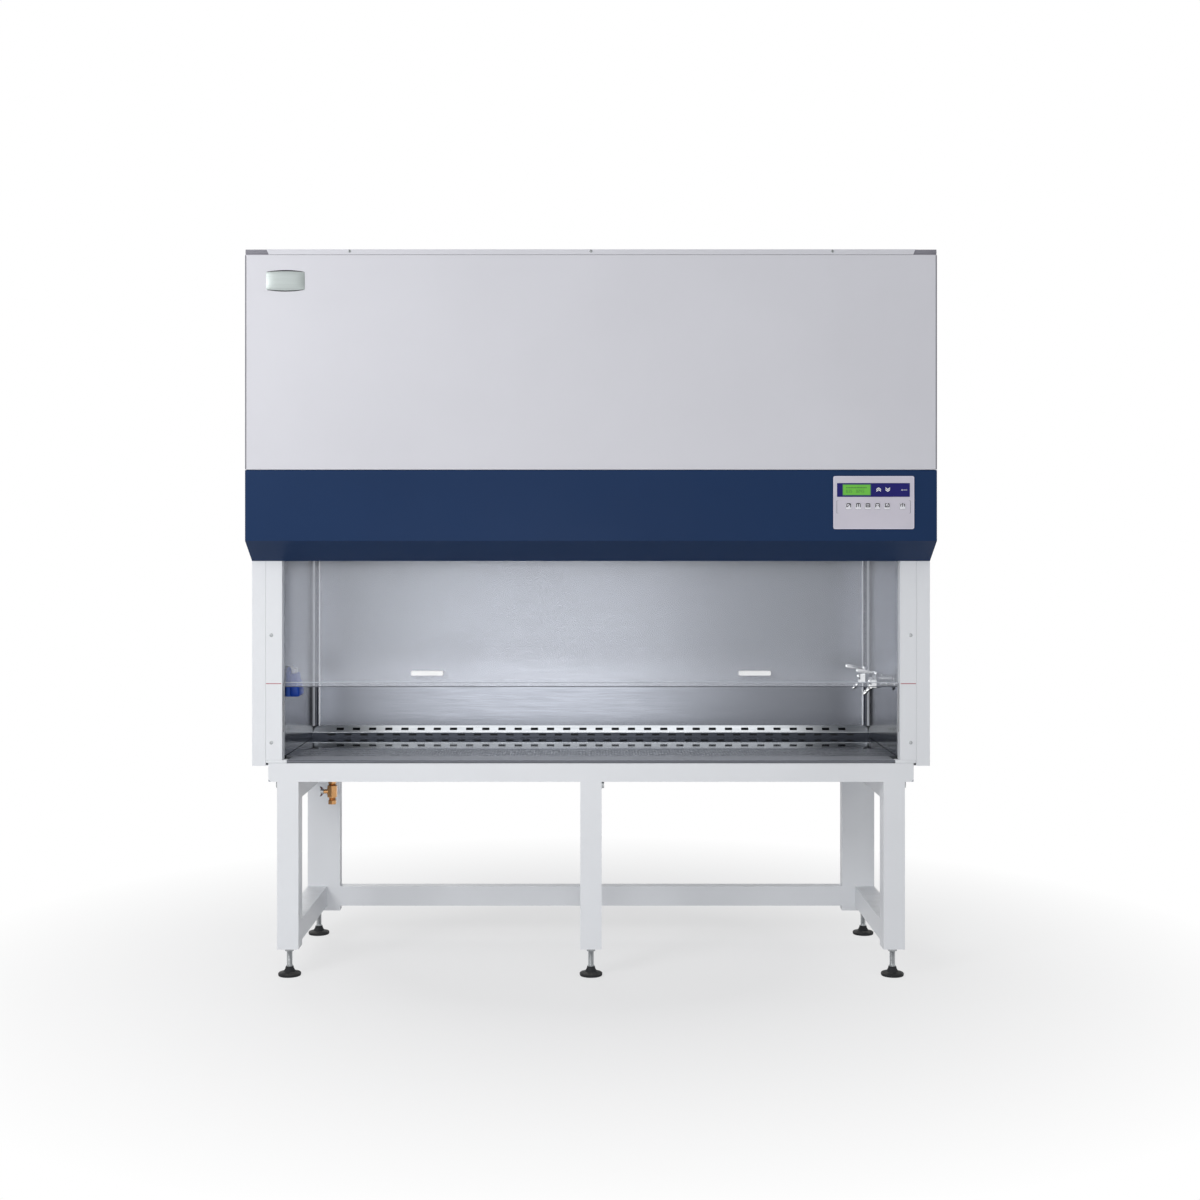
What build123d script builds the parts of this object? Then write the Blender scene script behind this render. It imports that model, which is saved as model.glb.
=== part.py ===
from build123d import *

import math
import os

os.makedirs("parts", exist_ok=True)

# A wide class II biosafety cabinet on a welded tube stand.  Millimetres.
# X points to the right, Y to the back and Z up.  The origin is on the floor,
# below the middle of the whole cabinet.

# ---------------------------------------------------------------- outside body
body_width = 1900.0
body_depth = 782.0          # header front to rear cover
sheet = 2.0                 # painted steel sheet
steel_skin = 1.5            # stainless sheet of the work chamber
side_drop = 15.0            # the side panels end this far below the work surface
header_up = 559.0           # work surface to the lowest edge of the sloped underside
slope_rise = 56.0
fascia_height = 195.0       # blue front above the slope
upper_panel_height = 590.0
seam_gap = 1.5
header_overhang = 94.0      # how far the header stands out over the posts
panel_return = 16.0         # folded edge of the upper front panel
lid_height = 16.0
guard_height = 54.0
top_rail_height = 28.0
top_rail_inset = 65.0
top_rail_chamfer = 10.0

# ---------------------------------------------------------------- control panel
plate_thickness = 3.0
key_proud = 1.0
plate_width = 222.0
plate_height = 145.5
plate_inset = 174.0         # middle of the plate to the cabinet's right side
plate_up = 105.0            # middle of the plate above the slope
plate_corner = 5.0
key_size = 15.6
key_corner = 3.0
key_gap = 0.3
key_depth = 3.2
key_pitch = 26.4
key_count = 5
first_key = 42.0            # plate edge to the first key of the lower row
last_key_step = 42.4        # the last key stands apart from the other five
key_row_drop = 10.5         # below the plate's middle
arrow_size = 14.0
arrow_row_up = 35.0
up_key_right = 13.0         # right of the plate's middle
arrow_pitch = 25.0
display_width = 74.0
display_height = 27.0
display_left = 47.0
display_depth = 1.2

# ---------------------------------------------------------------- stand
foot_height = 80.0
leg_long = 470.0
leg_size = 60.0
tube_wall = 2.5
leg_inset = 70.0            # cabinet side to the outside of the legs
rear_leg_back = 501.0       # front leg face to rear leg face
upright_size = 40.0
low_rail_up = 15.0          # above the end of the legs
low_rail_high = 60.0
top_rail_high = 50.0
end_plate = 5.0
foot_pad_r = 32.0
foot_pad_edge = 9.0
foot_cone_high = 20.0
foot_stud_r = 8.0
foot_stud_in = 38.0         # stud inside the leg
foot_nut_high = 10.0
foot_nut_flats = 24.0
stud_gap = 0.1
spigot_gap = 0.5
spigot_long = 44.0
bolt_r = 5.0
bolt_head_high = 7.0
bolt_head_flats = 17.0
bolt_drop = 12.0            # bolt axis below the stand's top
bolt_long = 18.0
bolt_gap = 0.2

# ---------------------------------------------------------------- base and work surface
beam_inset = 45.5
beam_height = 52.0
beam_flange = 95.0
beam_corner = 12.0
lip_height = 8.0
lip_gap = 14.0              # between the armrest's end and the post cover
lip_proud = 2.0
armrest_depth = 97.0
grille_depth = 172.5
panel_gap = 1.0             # joint between the loose floor panels
floor_flange = 25.0
floor_side_gap = 2.0
ledge_width = 20.0
grille_slot = (12.0, 128.0)
grille_pitch = 30.0
grille_margin = 37.0
pan_wall = 47.0

# ---------------------------------------------------------------- work chamber
side_cavity = 75.0          # chamber wall to the outside of the cabinet
chamber_back = 586.0        # lower front plane to the back wall
chamber_height = 660.0
cove_r = 20.0
slot_panel_step = 19.0
slot_panel_top = 36.0       # top of the sloped strip above the work surface
slot_size = (23.0, 5.5)
slot_pitch = 51.0
slot_margin = 84.0
slot_lower_up = 9.0
ceiling_slot = (16.0, 190.0)
ceiling_rows = 2
ceiling_pitch = (90.0, 216.0)
ceiling_margin = 90.0

# ---------------------------------------------------------------- posts and sash
column_width = 38.0         # front column folded from the side panel
post_width = 46.0
post_gap = 0.5
post_return = 15.0
post_bottom_up = 1.0
sash_back = 36.0            # lower front plane to the front of the glass
glass_thickness = 6.0
glide_gap = 0.3
rail_lip = 2.7
rail_grip = 18.0            # how far the glass reaches into its rail
rail_web = 2.0
rail_top_drop = 110.0       # top of the rails below the panel's top
sash_opening = 203.0
sash_height = 637.0
trim_height = 14.0
trim_wall = 2.0
trim_end_gap = 1.5
top_bar_height = 20.0
pull_length = 90.0
pull_height = 13.0
pull_depth = 18.0
pull_spacing = 922.0
pull_up = 40.0
pull_round = 3.0
pull_grip_r = 5.0

# ---------------------------------------------------------------- sash drive
shaft_r = 10.0
shaft_drop = 50.0           # shaft below the top of the rails
drum_r = 25.0
drum_width = 30.0
drum_inset = 66.0
cable_r = 2.0
bracket_thickness = 4.0
bracket_size = (60.0, 90.0)
bearing_gap = 0.05
shaft_overhang = 6.0
motor_block = (50.0, 58.0, 70.0)

# ---------------------------------------------------------------- air system
filter_height = 90.0
filter_side_gap = 15.0
filter_front_gap = 65.0
filter_back_gap = 4.0
plenum_drop = 92.0          # plenum top below the panel's top
exhaust_half = 330.0
exhaust_back_gap = 121.0
exhaust_deep = 320.0
filter_rim = 12.0
filter_recess = 6.0
guard_slot = (14.0, 120.0)
guard_columns = 16
guard_rows = 2
wheel_r = 130.0
wheel_width = 112.0
wheel_blades = 12
wheel_clearance = 12.0
wheel_ring = 34.0
blade_long = 34.0
blade_thickness = 3.0
blade_turn = 35.0
scroll_r = 175.0
scroll_width = 140.0
scroll_outlet = (235.0, 130.0)
inlet_r = 110.0
motor_r = 62.0
motor_long = 85.0
motor_shaft_r = 8.0
motor_shaft_in = 26.0
hub_r = 24.0
hub_long = 30.0

# ---------------------------------------------------------------- lamps and electrics
lamp_half = 602.0
lamp_r = 13.0
uv_lamp_r = 8.0
lamp_gap = 5.0
channel_depth = 54.0
channel_drop = 55.0
holder = 14.0
box_width = 240.0
box_height = 260.0
box_up = 20.0               # above the seam of the header
inlet_size = (60.0, 40.0)
inlet_flange = 4.0
inlet_inset = 250.0
inlet_drop = 110.0
inlet_collar = 6.0

# ---------------------------------------------------------------- fittings
cock_up = 204.0             # above the work surface
cock_backs = {"front": 152.0, "rear": 349.0}   # behind the lower front plane
cock_flange_r = 20.0
cock_flange = 5.0
cock_pipe_r = 9.0
cock_valve_out = 51.0       # wall to the valve stem
cock_valve_flats = 26.0
cock_bonnet_flats = 18.0
cock_bonnet_high = 26.0
cock_stem_r = 4.0
cock_stem_high = 9.0
cock_nozzle_r = 6.5
cock_nozzle_long = 40.0
cock_neck = 14.0
nozzle_bore_r = 2.5
barb_step = 2.0
lever_hub_r = 10.0
lever_hub_high = 9.0
lever_long = 52.0
lever_thickness = 5.0
socket_back = 147.0
socket_up = 205.0
socket_width = 80.0
socket_high = 72.0
socket_base = 12.0
pin_hole_r = 3.0
pin_hole_step = 12.0
cover_deep = 38.0
cover_top_deep = 14.0
cover_wall = 2.0
cover_drop = 6.0
cover_bulge = 16.0
hinge_r = 2.5
barrel_r = 5.0
hinge_up = 44.0
hinge_half = 24.0
ear_width = 5.0
drain_inset = 83.0          # leg face to the drain's axis
drain_back = 77.0
drain_flange_r = 16.0
drain_flange = 5.0
drain_neck = 20.0
drain_r = 13.0
drain_tail_half = 10.5
drain_body = 54.0
drain_bore_r = 7.0
drain_drop = 74.0
drain_axis_drop = 38.0
drain_stem_r = 4.0
drain_handle_out = 26.0
drain_handle_long = 28.0
drain_handle_wide = 10.0
screw_r = 5.0
screw_high = 2.0
post_screw_inset = 16.0
post_screw_ups = (50.0, 351.0)
top_screw_step = 663.0
top_screw_up = 14.0

# ---------------------------------------------------------------- derived places
body_half = body_width / 2
key_front_y = -(body_depth + inlet_flange + key_proud + plate_thickness) / 2
plate_front_y = key_front_y + key_proud
header_y = plate_front_y + plate_thickness
body_y = header_y + header_overhang
back_y = header_y + body_depth
stand_top_z = foot_height + leg_long
beam_top_z = stand_top_z + beam_height
work_z = beam_top_z + lip_height
side_bottom_z = work_z - side_drop
header_bottom_z = work_z + header_up
slope_top_z = header_bottom_z + slope_rise
seam_z = slope_top_z + fascia_height
panel_top_z = seam_z + upper_panel_height
lid_top_z = panel_top_z + lid_height
guard_top_z = lid_top_z + guard_height
top_rail_half = body_half - top_rail_inset
plate_x = body_half - plate_inset
plate_z = slope_top_z + plate_up
key_z = plate_z - key_row_drop
arrow_z = plate_z + arrow_row_up
display_x = plate_x - display_left
floor_in_z = stand_top_z + sheet
flange_z = work_z - floor_flange
pan_wall_top_z = stand_top_z + pan_wall
armrest_back_y = body_y + armrest_depth
grille_front_y = armrest_back_y + panel_gap
grille_back_y = grille_front_y + grille_depth
tray_front_y = grille_back_y + panel_gap
wall_y = body_y + chamber_back
slot_front_y = wall_y - slot_panel_step
tray_back_y = slot_front_y - panel_gap
side_wall_back_y = wall_y - cove_r
chamber_half = body_half - side_cavity
ceiling_z = work_z + chamber_height
beam_half = body_half - beam_inset
post_seam_half = body_half - column_width
post_inner_half = post_seam_half - post_width
lip_half = post_inner_half - lip_gap
post_screw_x = post_seam_half - post_screw_inset
post_screw_z = [work_z + up for up in post_screw_ups]
rail_web_half = post_inner_half + rail_grip
rail_top_z = panel_top_z - rail_top_drop
shaft_z = rail_top_z - shaft_drop
drum_x = post_inner_half - drum_inset
pull_x = pull_spacing / 2
glass_front_y = body_y + sash_back
glass_back_y = glass_front_y + glass_thickness
rail_front_y = glass_front_y - glide_gap - rail_lip
rail_back_y = glass_back_y + glide_gap + rail_lip
sash_bottom_z = work_z + sash_opening
sash_top_z = sash_bottom_z + sash_height
post_bottom_z = work_z + post_bottom_up
leg_outer_x = body_half - leg_inset
leg_inner_x = leg_outer_x - leg_size
rear_leg_y = body_y + rear_leg_back
upright_inner_x = leg_inner_x - upright_size
rail_low_z = foot_height + low_rail_up
top_rail_z = stand_top_z - top_rail_high
filter_z = ceiling_z + sheet
plenum_z = filter_z + filter_height
plenum_top_z = panel_top_z - plenum_drop
scroll_z = (plenum_z + plenum_top_z) / 2
filter_half = chamber_half - filter_side_gap
filter_front_y = rail_back_y + filter_front_gap
filter_back_y = wall_y - filter_back_gap
exhaust_y = (back_y - exhaust_back_gap - exhaust_deep, back_y - exhaust_back_gap)
shaft_y = glass_front_y - glide_gap + drum_r + cable_r
inlet_place = (body_half - inlet_inset, panel_top_z - inlet_drop)
cock_z = work_z + cock_up
socket_z = work_z + socket_up
drain_x = drain_inset - leg_inner_x


# ---------------------------------------------------------------- helpers
def block(x, y, z):
    """A box between two x, two y and two z values."""
    size = (x[1] - x[0], y[1] - y[0], z[1] - z[0])
    return Pos((x[0] + x[1]) / 2, (y[0] + y[1]) / 2, (z[0] + z[1]) / 2) * Box(*size)


def rod_x(x, y, z, radius):
    return Pos((x[0] + x[1]) / 2, y, z) * Rot(0, 90, 0) * Cylinder(radius, x[1] - x[0])


def rod_y(x, y, z, radius):
    return Pos(x, (y[0] + y[1]) / 2, z) * Rot(90, 0, 0) * Cylinder(radius, y[1] - y[0])


def rod_z(x, y, z, radius):
    return Pos(x, y, (z[0] + z[1]) / 2) * Cylinder(radius, z[1] - z[0])


def hexagon_z(x, y, z, flats):
    """An upright hexagonal prism of a width across its flats, two of which face along X."""
    outline = RegularPolygon(flats / 2, 6, major_radius=False, rotation=30)
    return Pos(x, y, z[0]) * extrude(outline, amount=z[1] - z[0])


def along_x(points, x0, x1):
    """Extrude a closed outline of (y, z) points from x0 to x1."""
    outline = Polyline(*[(x0, y, z) for y, z in points], close=True)
    return extrude(make_face(outline), amount=x1 - x0, dir=(1, 0, 0))


def plate_xz(x, z, y0, y1, corner):
    """A plate facing the front, with rounded corners."""
    face = Plane.XZ * RectangleRounded(x[1] - x[0], z[1] - z[0], corner)
    solid = extrude(face, amount=y1 - y0, dir=(0, 1, 0))
    return Pos((x[0] + x[1]) / 2, y0, (z[0] + z[1]) / 2) * solid


def mirrored(solid):
    return mirror(solid, about=Plane.YZ)


def tube(x, y, z, axis):
    """A square steel tube, open along one axis."""
    inner = [(a + tube_wall, b - tube_wall) for a, b in (x, y, z)]
    inner["xyz".index(axis)] = (x, y, z)["xyz".index(axis)]
    return block(x, y, z) - block(*inner)


def centred(middle, size):
    return (middle - size / 2, middle + size / 2)


def spread(count, pitch):
    return [(i - (count - 1) / 2) * pitch for i in range(count)]


def fitted(pitch, half):
    """Evenly spaced places that fit between -half and half."""
    return spread(int(2 * half / pitch) + 1, pitch)


def save(name, *solids):
    shape = solids[0] if len(solids) == 1 else Compound(children=list(solids))
    export_step(shape, f"parts/{name}.step")


# ---------------------------------------------------------------- stand
def front_leg_places():
    middle = leg_outer_x - leg_size / 2
    return [-middle, 0.0, middle]


def rear_leg_places():
    middle = leg_outer_x - leg_size / 2
    return [-middle, middle]


def leg(x, y0):
    """A leg tube with a welded end plate that takes the foot's stud."""
    y = (y0, y0 + leg_size)
    x_span = centred(x, leg_size)
    post = tube(x_span, y, (foot_height, stand_top_z), "z")
    inside = (x_span[0] + tube_wall, x_span[1] - tube_wall)
    inside_y = (y[0] + tube_wall, y[1] - tube_wall)
    plate = block(inside, inside_y, (foot_height, foot_height + end_plate))
    hole = rod_z(x, y0 + leg_size / 2, (foot_height - 1, foot_height + end_plate + 1),
                 foot_stud_r + stud_gap)
    return post + (plate - hole)


def bolt_axis(x, y0):
    """Where a leg's bolt goes in: a corner leg from outside, the middle leg from its right."""
    out = -1 if x < 0 else 1
    place = Pos(x + out * leg_size / 2, y0 + leg_size / 2, stand_top_z - bolt_drop)
    return place * Rot(0, out * 90, 0)


def bolt(x, y0):
    shank = Pos(0, 0, -bolt_long / 2) * Cylinder(bolt_r, bolt_long)
    head = hexagon_z(0, 0, (0, bolt_head_high), bolt_head_flats)
    return bolt_axis(x, y0) * (shank + head)


def bolt_hole(x, y0):
    long_hole = bolt_long * 2 + 4
    return bolt_axis(x, y0) * Cylinder(bolt_r + bolt_gap, long_hole)


def leg_spots():
    spots = [(x, body_y) for x in front_leg_places()]
    return spots + [(x, rear_leg_y) for x in rear_leg_places()]


def make_legs():
    front = [leg(x, body_y) - bolt_hole(x, body_y) for x in front_leg_places()]
    rear = [leg(x, rear_leg_y) - bolt_hole(x, rear_leg_y) for x in rear_leg_places()]
    height = (foot_height, stand_top_z)
    upright = tube((upright_inner_x, leg_inner_x), (rear_leg_y, rear_leg_y + upright_size),
                   height, "z")
    save("front_legs", *front)
    save("rear_legs", *rear, upright, mirrored(upright))


def make_stand_rails():
    """Side rails between front and rear legs, and beams between the uprights."""
    side_y = (body_y + leg_size, rear_leg_y)
    rails = []
    for z in ((rail_low_z, rail_low_z + low_rail_high), (top_rail_z, stand_top_z)):
        side = tube((leg_inner_x, leg_outer_x), side_y, z, "y")
        beam = tube((-upright_inner_x, upright_inner_x),
                    (rear_leg_y, rear_leg_y + upright_size), z, "x")
        rails += [side, mirrored(side), beam]
    save("stand_rails", *rails)


def foot(x, y0):
    """A levelling foot: pad, cone and stud, with the lock nut tight under the leg."""
    cone_z = foot_pad_edge + foot_cone_high
    stud_top = foot_height + foot_stud_in
    profile = Polyline((0, 0), (foot_pad_r, 0), (foot_pad_r, foot_pad_edge), (foot_stud_r, cone_z),
                       (foot_stud_r, stud_top), (0, stud_top), close=True)
    pad = revolve(make_face(Plane.XZ * profile), axis=Axis.Z)
    nut = hexagon_z(0, 0, (foot_height - foot_nut_high, foot_height), foot_nut_flats)
    return Pos(x, y0 + leg_size / 2, 0) * (pad + nut)


def make_feet_and_bolts():
    save("levelling_feet", *[foot(x, y0) for x, y0 in leg_spots()])
    save("leg_bolts", *[bolt(x, y0) for x, y0 in leg_spots()])


# ---------------------------------------------------------------- base
def make_base_pan():
    """The sump under the floor panels, with spigots that drop into the legs."""
    y = (body_y + sheet, back_y - sheet)
    walls_z = (stand_top_z, pan_wall_top_z)
    pan = block((-beam_half, beam_half), y, walls_z)
    inner_x = (-beam_half + sheet, beam_half - sheet)
    pan -= block(inner_x, (y[0] - 1, y[1] - sheet), (floor_in_z, pan_wall_top_z + 1))
    side = leg_size - 2 * tube_wall - 2 * spigot_gap
    spigots = []
    for x, y0 in leg_spots():
        spot = centred(y0 + leg_size / 2, side)
        spigot = block(centred(x, side), spot, (stand_top_z - spigot_long, stand_top_z))
        spigots.append(spigot - bolt_hole(x, y0))
    drain = rod_z(drain_x, body_y + drain_back, (stand_top_z - 1, floor_in_z + 1), drain_bore_r)
    save("base_pan", pan - drain, *spigots)


def make_front_beam():
    """The white front beam: a folded channel with rounded lower corners."""
    plate = plate_xz((-beam_half, beam_half), (stand_top_z, beam_top_z + beam_corner),
                     body_y, body_y + sheet, beam_corner)
    plate -= block((-body_half, body_half), (body_y - 1, body_y + sheet + 1),
                   (beam_top_z, beam_top_z + 2 * beam_corner))
    flange = block((-lip_half, lip_half), (body_y + sheet, body_y + beam_flange),
                   (beam_top_z - sheet, beam_top_z))
    save("front_beam", plate + flange)


def make_armrest():
    """The stainless armrest: a folded sheet with a half-round nose."""
    nose_r = lip_height / 2
    nose_y = body_y - lip_proud + nose_r
    nose_z = beam_top_z + nose_r
    x = (-lip_half, lip_half)
    body = block(x, (nose_y, armrest_back_y), (beam_top_z, work_z))
    body += rod_x(x, nose_y, nose_z, nose_r)
    wide = (-lip_half - 1, lip_half + 1)
    hollow = block(wide, (nose_y, armrest_back_y + 1),
                   (beam_top_z + steel_skin, work_z - steel_skin))
    hollow += rod_x(wide, nose_y, nose_z, nose_r - steel_skin)
    save("armrest_lip", body - hollow)


def floor_panel(y):
    """A loose stainless floor panel with its edges folded down."""
    half = chamber_half - floor_side_gap
    outer = block((-half, half), y, (flange_z, work_z))
    inner = block((-half + steel_skin, half - steel_skin),
                  (y[0] + steel_skin, y[1] - steel_skin),
                  (flange_z - 1, work_z - steel_skin))
    return outer - inner


def make_floor_panels():
    """The intake grille with its row of long slots, and the plain work tray."""
    grille = floor_panel((grille_front_y, grille_back_y))
    slot_y = centred((grille_front_y + grille_back_y) / 2, grille_slot[1])
    cuts = [block(centred(x, grille_slot[0]), slot_y, (work_z - 2 * steel_skin, work_z + 1))
            for x in fitted(grille_pitch, chamber_half - grille_margin)]
    save("front_grille", grille - cuts)
    save("work_tray", floor_panel((tray_front_y, tray_back_y)))


# ---------------------------------------------------------------- work chamber
def make_side_walls():
    """Stainless side walls, each with the folded ledge that carries the floor panels."""
    wall = block((chamber_half, chamber_half + steel_skin), (rail_back_y, side_wall_back_y),
                 (floor_in_z, ceiling_z))
    ledge = block((chamber_half - ledge_width, chamber_half), (grille_front_y, tray_back_y),
                  (flange_z - steel_skin, flange_z))
    right = wall + ledge
    save("side_wall_right", right)
    save("side_wall_left", mirrored(right))


def make_back_wall():
    """The back wall with a round cove into each side wall."""
    centre = (chamber_half - cove_r, side_wall_back_y)
    flat = block((-centre[0], centre[0]), (wall_y, wall_y + steel_skin),
                 (work_z + slot_panel_top, ceiling_z))
    height = ceiling_z - work_z - slot_panel_top
    ring = Circle(cove_r + steel_skin) - Circle(cove_r)
    reach = 2 * cove_r
    ring &= Pos(reach / 2, reach / 2) * Rectangle(reach, reach)
    cove = Pos(centre[0], centre[1], work_z + slot_panel_top) * extrude(ring, amount=height)
    save("back_wall", flat + cove + mirrored(cove))


def make_slot_panel():
    """The return-air strip at the foot of the back wall, with two staggered rows of slots."""
    top_z = work_z + slot_panel_top
    bend_z = top_z - slot_panel_step
    fold = steel_skin * math.tan(math.radians(22.5))
    skin_z = steel_skin * math.sqrt(2)
    points = [(wall_y, top_z), (slot_front_y, bend_z), (slot_front_y, floor_in_z),
              (slot_front_y + steel_skin, floor_in_z), (slot_front_y + steel_skin, bend_z - fold),
              (wall_y + steel_skin, top_z + steel_skin - skin_z), (wall_y + steel_skin, top_z)]
    panel = along_x(points, -chamber_half, chamber_half)
    cuts = []
    middle = Pos(0, (wall_y + slot_front_y) / 2, (top_z + bend_z) / 2) * Rot(45, 0, 0)
    upper = fitted(slot_pitch, chamber_half - slot_margin)
    for x in upper:
        cuts.append(Pos(x, 0, 0) * middle * Box(slot_size[0], slot_size[1], 8))
    for x in spread(len(upper) + 1, slot_pitch):
        z = centred(work_z + slot_lower_up, slot_size[1])
        cuts.append(block(centred(x, slot_size[0]), (slot_front_y - 1, slot_front_y + 4), z))
    save("rear_slot_panel", panel - cuts)


def make_ceiling():
    """The perforated sheet under the supply filter."""
    half = chamber_half + steel_skin
    y = (rail_back_y + sheet, wall_y + steel_skin)
    sheet_plate = block((-half, half), y, (ceiling_z, filter_z))
    middle_y = (filter_front_y + filter_back_y) / 2
    cuts = []
    for x in fitted(ceiling_pitch[0], chamber_half - ceiling_margin):
        for dy in spread(ceiling_rows, ceiling_pitch[1]):
            cuts.append(block(centred(x, ceiling_slot[0]), centred(middle_y + dy, ceiling_slot[1]),
                              (ceiling_z - 1, filter_z + 1)))
    save("ceiling_diffuser", sheet_plate - cuts)


# ---------------------------------------------------------------- outer casing
def make_outer_sides():
    """Painted side panels with a folded front column and a bottom flange."""
    header_back_y = header_y + panel_return
    points = [(body_y, side_bottom_z), (body_y, seam_z), (header_back_y, seam_z),
              (header_back_y, panel_top_z), (back_y - sheet, panel_top_z),
              (back_y - sheet, side_bottom_z)]
    side = along_x(points, body_half - sheet, body_half)
    column = block((post_seam_half, body_half - sheet), (body_y, body_y + sheet),
                   (side_bottom_z, header_bottom_z))
    edge = block((post_seam_half, post_seam_half + sheet), (body_y + sheet, body_y + 30),
                 (side_bottom_z, header_bottom_z))
    flange = block((beam_half, body_half - sheet), (body_y + sheet, back_y - sheet),
                   (side_bottom_z, side_bottom_z + sheet))
    right = side + column + edge + flange
    save("outer_side_right", right)
    save("outer_side_left", mirrored(right))


def make_rear_cover():
    cover = block((-body_half, body_half), (back_y - sheet, back_y), (side_bottom_z, panel_top_z))
    x, z = inlet_place
    hole = block(centred(x, inlet_size[0] - 2 * inlet_collar), (back_y - 9, back_y + 9),
                 centred(z, inlet_size[1] - 2 * inlet_collar))
    save("rear_cover", cover - hole)


def make_upper_panel():
    """The large upper front panel: a tray of folded sheet, open to the back."""
    y = (header_y, header_y + panel_return)
    z = (seam_z + seam_gap / 2, panel_top_z)
    tray = block((-body_half, body_half), y, z)
    tray -= block((-body_half + sheet, body_half - sheet), (y[0] + sheet, y[1] + 1),
                  (z[0] + sheet, z[1] - sheet))
    save("upper_front_panel", tray)


def make_fascia():
    """The blue header front with its sloped underside, closed by end plates."""
    top = seam_z - seam_gap / 2
    rise = slope_top_z - header_bottom_z
    run = body_y - header_y
    skin = sheet * math.hypot(rise, run) / run
    drop = rise / run * sheet
    lip_z = header_bottom_z + 26
    outer = along_x([(header_y, top), (header_y, slope_top_z), (body_y, header_bottom_z),
                     (body_y, top)], -body_half, body_half)
    inner = along_x([(header_y + sheet, top - sheet),
                     (header_y + sheet, slope_top_z - drop + skin),
                     (body_y - sheet, header_bottom_z + drop + skin),
                     (body_y - sheet, lip_z), (body_y + 1, lip_z), (body_y + 1, top - sheet)],
                    -body_half + sheet, body_half - sheet)
    save("blue_fascia", outer - inner)


def make_top():
    """The top lid with the exhaust opening, and the raised rail along its front edge."""
    header_back_y = header_y + panel_return
    lid = block((-body_half, body_half), (header_back_y, back_y), (panel_top_z, lid_top_z))
    lid -= block((-body_half + sheet, body_half - sheet), (header_back_y + sheet, back_y - sheet),
                 (panel_top_z - 1, lid_top_z - sheet))
    rim = exhaust_half - filter_rim
    opening_y = (exhaust_y[0] + filter_rim, exhaust_y[1] - filter_rim)
    lid -= block((-rim, rim), opening_y, (panel_top_z, lid_top_z + 1))
    top = panel_top_z + top_rail_height
    points = [(-top_rail_half, panel_top_z), (top_rail_half, panel_top_z),
              (top_rail_half - top_rail_chamfer, top), (-top_rail_half + top_rail_chamfer, top)]
    outline = Polyline(*[(x, header_y, z) for x, z in points], close=True)
    rail = extrude(make_face(outline), amount=panel_return, dir=(0, 1, 0))
    save("top_cover", lid + rail)


def make_exhaust_guard():
    """A slotted hood over the exhaust filter."""
    x = (-exhaust_half, exhaust_half)
    hood = block(x, exhaust_y, (lid_top_z, guard_top_z))
    hood -= block((x[0] + sheet, x[1] - sheet), (exhaust_y[0] + sheet, exhaust_y[1] - sheet),
                  (lid_top_z - 1, guard_top_z - sheet))
    middle_y = sum(exhaust_y) / 2
    cuts = []
    for dx in spread(guard_columns, 2 * exhaust_half / (guard_columns + 1)):
        for dy in spread(guard_rows, exhaust_deep / guard_rows - guard_slot[0]):
            cuts.append(block(centred(dx, guard_slot[0]), centred(middle_y + dy, guard_slot[1]),
                              (guard_top_z - 2 * sheet, guard_top_z + 1)))
    save("exhaust_guard", hood - cuts)


# ---------------------------------------------------------------- posts and sash
def make_posts():
    """Post covers beside the opening, and the rails that the glass runs in."""
    cover_z = (post_bottom_z, header_bottom_z)
    outer_x = post_seam_half - post_gap
    front = block((post_inner_half, outer_x), (body_y, body_y + sheet), cover_z)
    inner = block((post_inner_half, post_inner_half + sheet), (body_y + sheet, rail_front_y), cover_z)
    outer = block((outer_x - sheet, outer_x), (body_y + sheet, body_y + post_return), cover_z)
    cover = front + inner + outer
    for z in post_screw_z:
        cover -= rod_y(post_screw_x, (body_y - 1, body_y + sheet + 1), z, screw_r / 2 + stud_gap)
    save("post_cover_right", cover)
    save("post_cover_left", mirrored(cover))
    rail_z = (post_bottom_z, rail_top_z)
    web_x = (rail_web_half, rail_web_half + rail_web)
    front_lip = block((post_inner_half, web_x[1]), (rail_front_y, rail_front_y + rail_lip), rail_z)
    back_lip = block((post_inner_half, web_x[1]), (rail_back_y - rail_lip, rail_back_y), rail_z)
    web = block(web_x, (rail_front_y + rail_lip, rail_back_y - rail_lip), rail_z)
    rail = front_lip + web + back_lip
    save("sash_rails", rail, mirrored(rail))


def sash_bar(z, open_up):
    """A U-shaped trim that grips one edge of the glass."""
    half = post_inner_half - trim_end_gap
    y = (glass_front_y - trim_wall, glass_back_y + trim_wall)
    bar = block((-half, half), y, z)
    slot_z = (z[0] + trim_wall, z[1] + 1) if open_up else (z[0] - 1, z[1] - trim_wall)
    return bar - block((-half - 1, half + 1), (glass_front_y, glass_back_y), slot_z)


def make_sash():
    glass_half = rail_web_half - glide_gap
    glass = block((-glass_half, glass_half), (glass_front_y, glass_back_y),
                  (sash_bottom_z + trim_wall, sash_top_z - trim_wall))
    save("sash_glass", glass)
    bottom = sash_bar((sash_bottom_z, sash_bottom_z + trim_height), True)
    top = sash_bar((sash_top_z - top_bar_height, sash_top_z), False)
    save("sash_trims", bottom, top)
    pull = block(centred(pull_x, pull_length), (glass_front_y - pull_depth, glass_front_y),
                 centred(sash_bottom_z + pull_up, pull_height))
    pull = fillet(pull.edges().filter_by(Axis.Y), pull_round)
    grip = rod_x(centred(pull_x, pull_length - 16), glass_front_y - pull_depth / 2,
                 sash_bottom_z + pull_up - pull_height / 2, pull_grip_r)
    pull -= grip
    save("sash_handles", pull, mirrored(pull))
    cable_y = shaft_y - drum_r - cable_r
    cable = rod_z(drum_x, cable_y, (sash_top_z, shaft_z), cable_r)
    save("sash_cables", cable, mirrored(cable))


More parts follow.
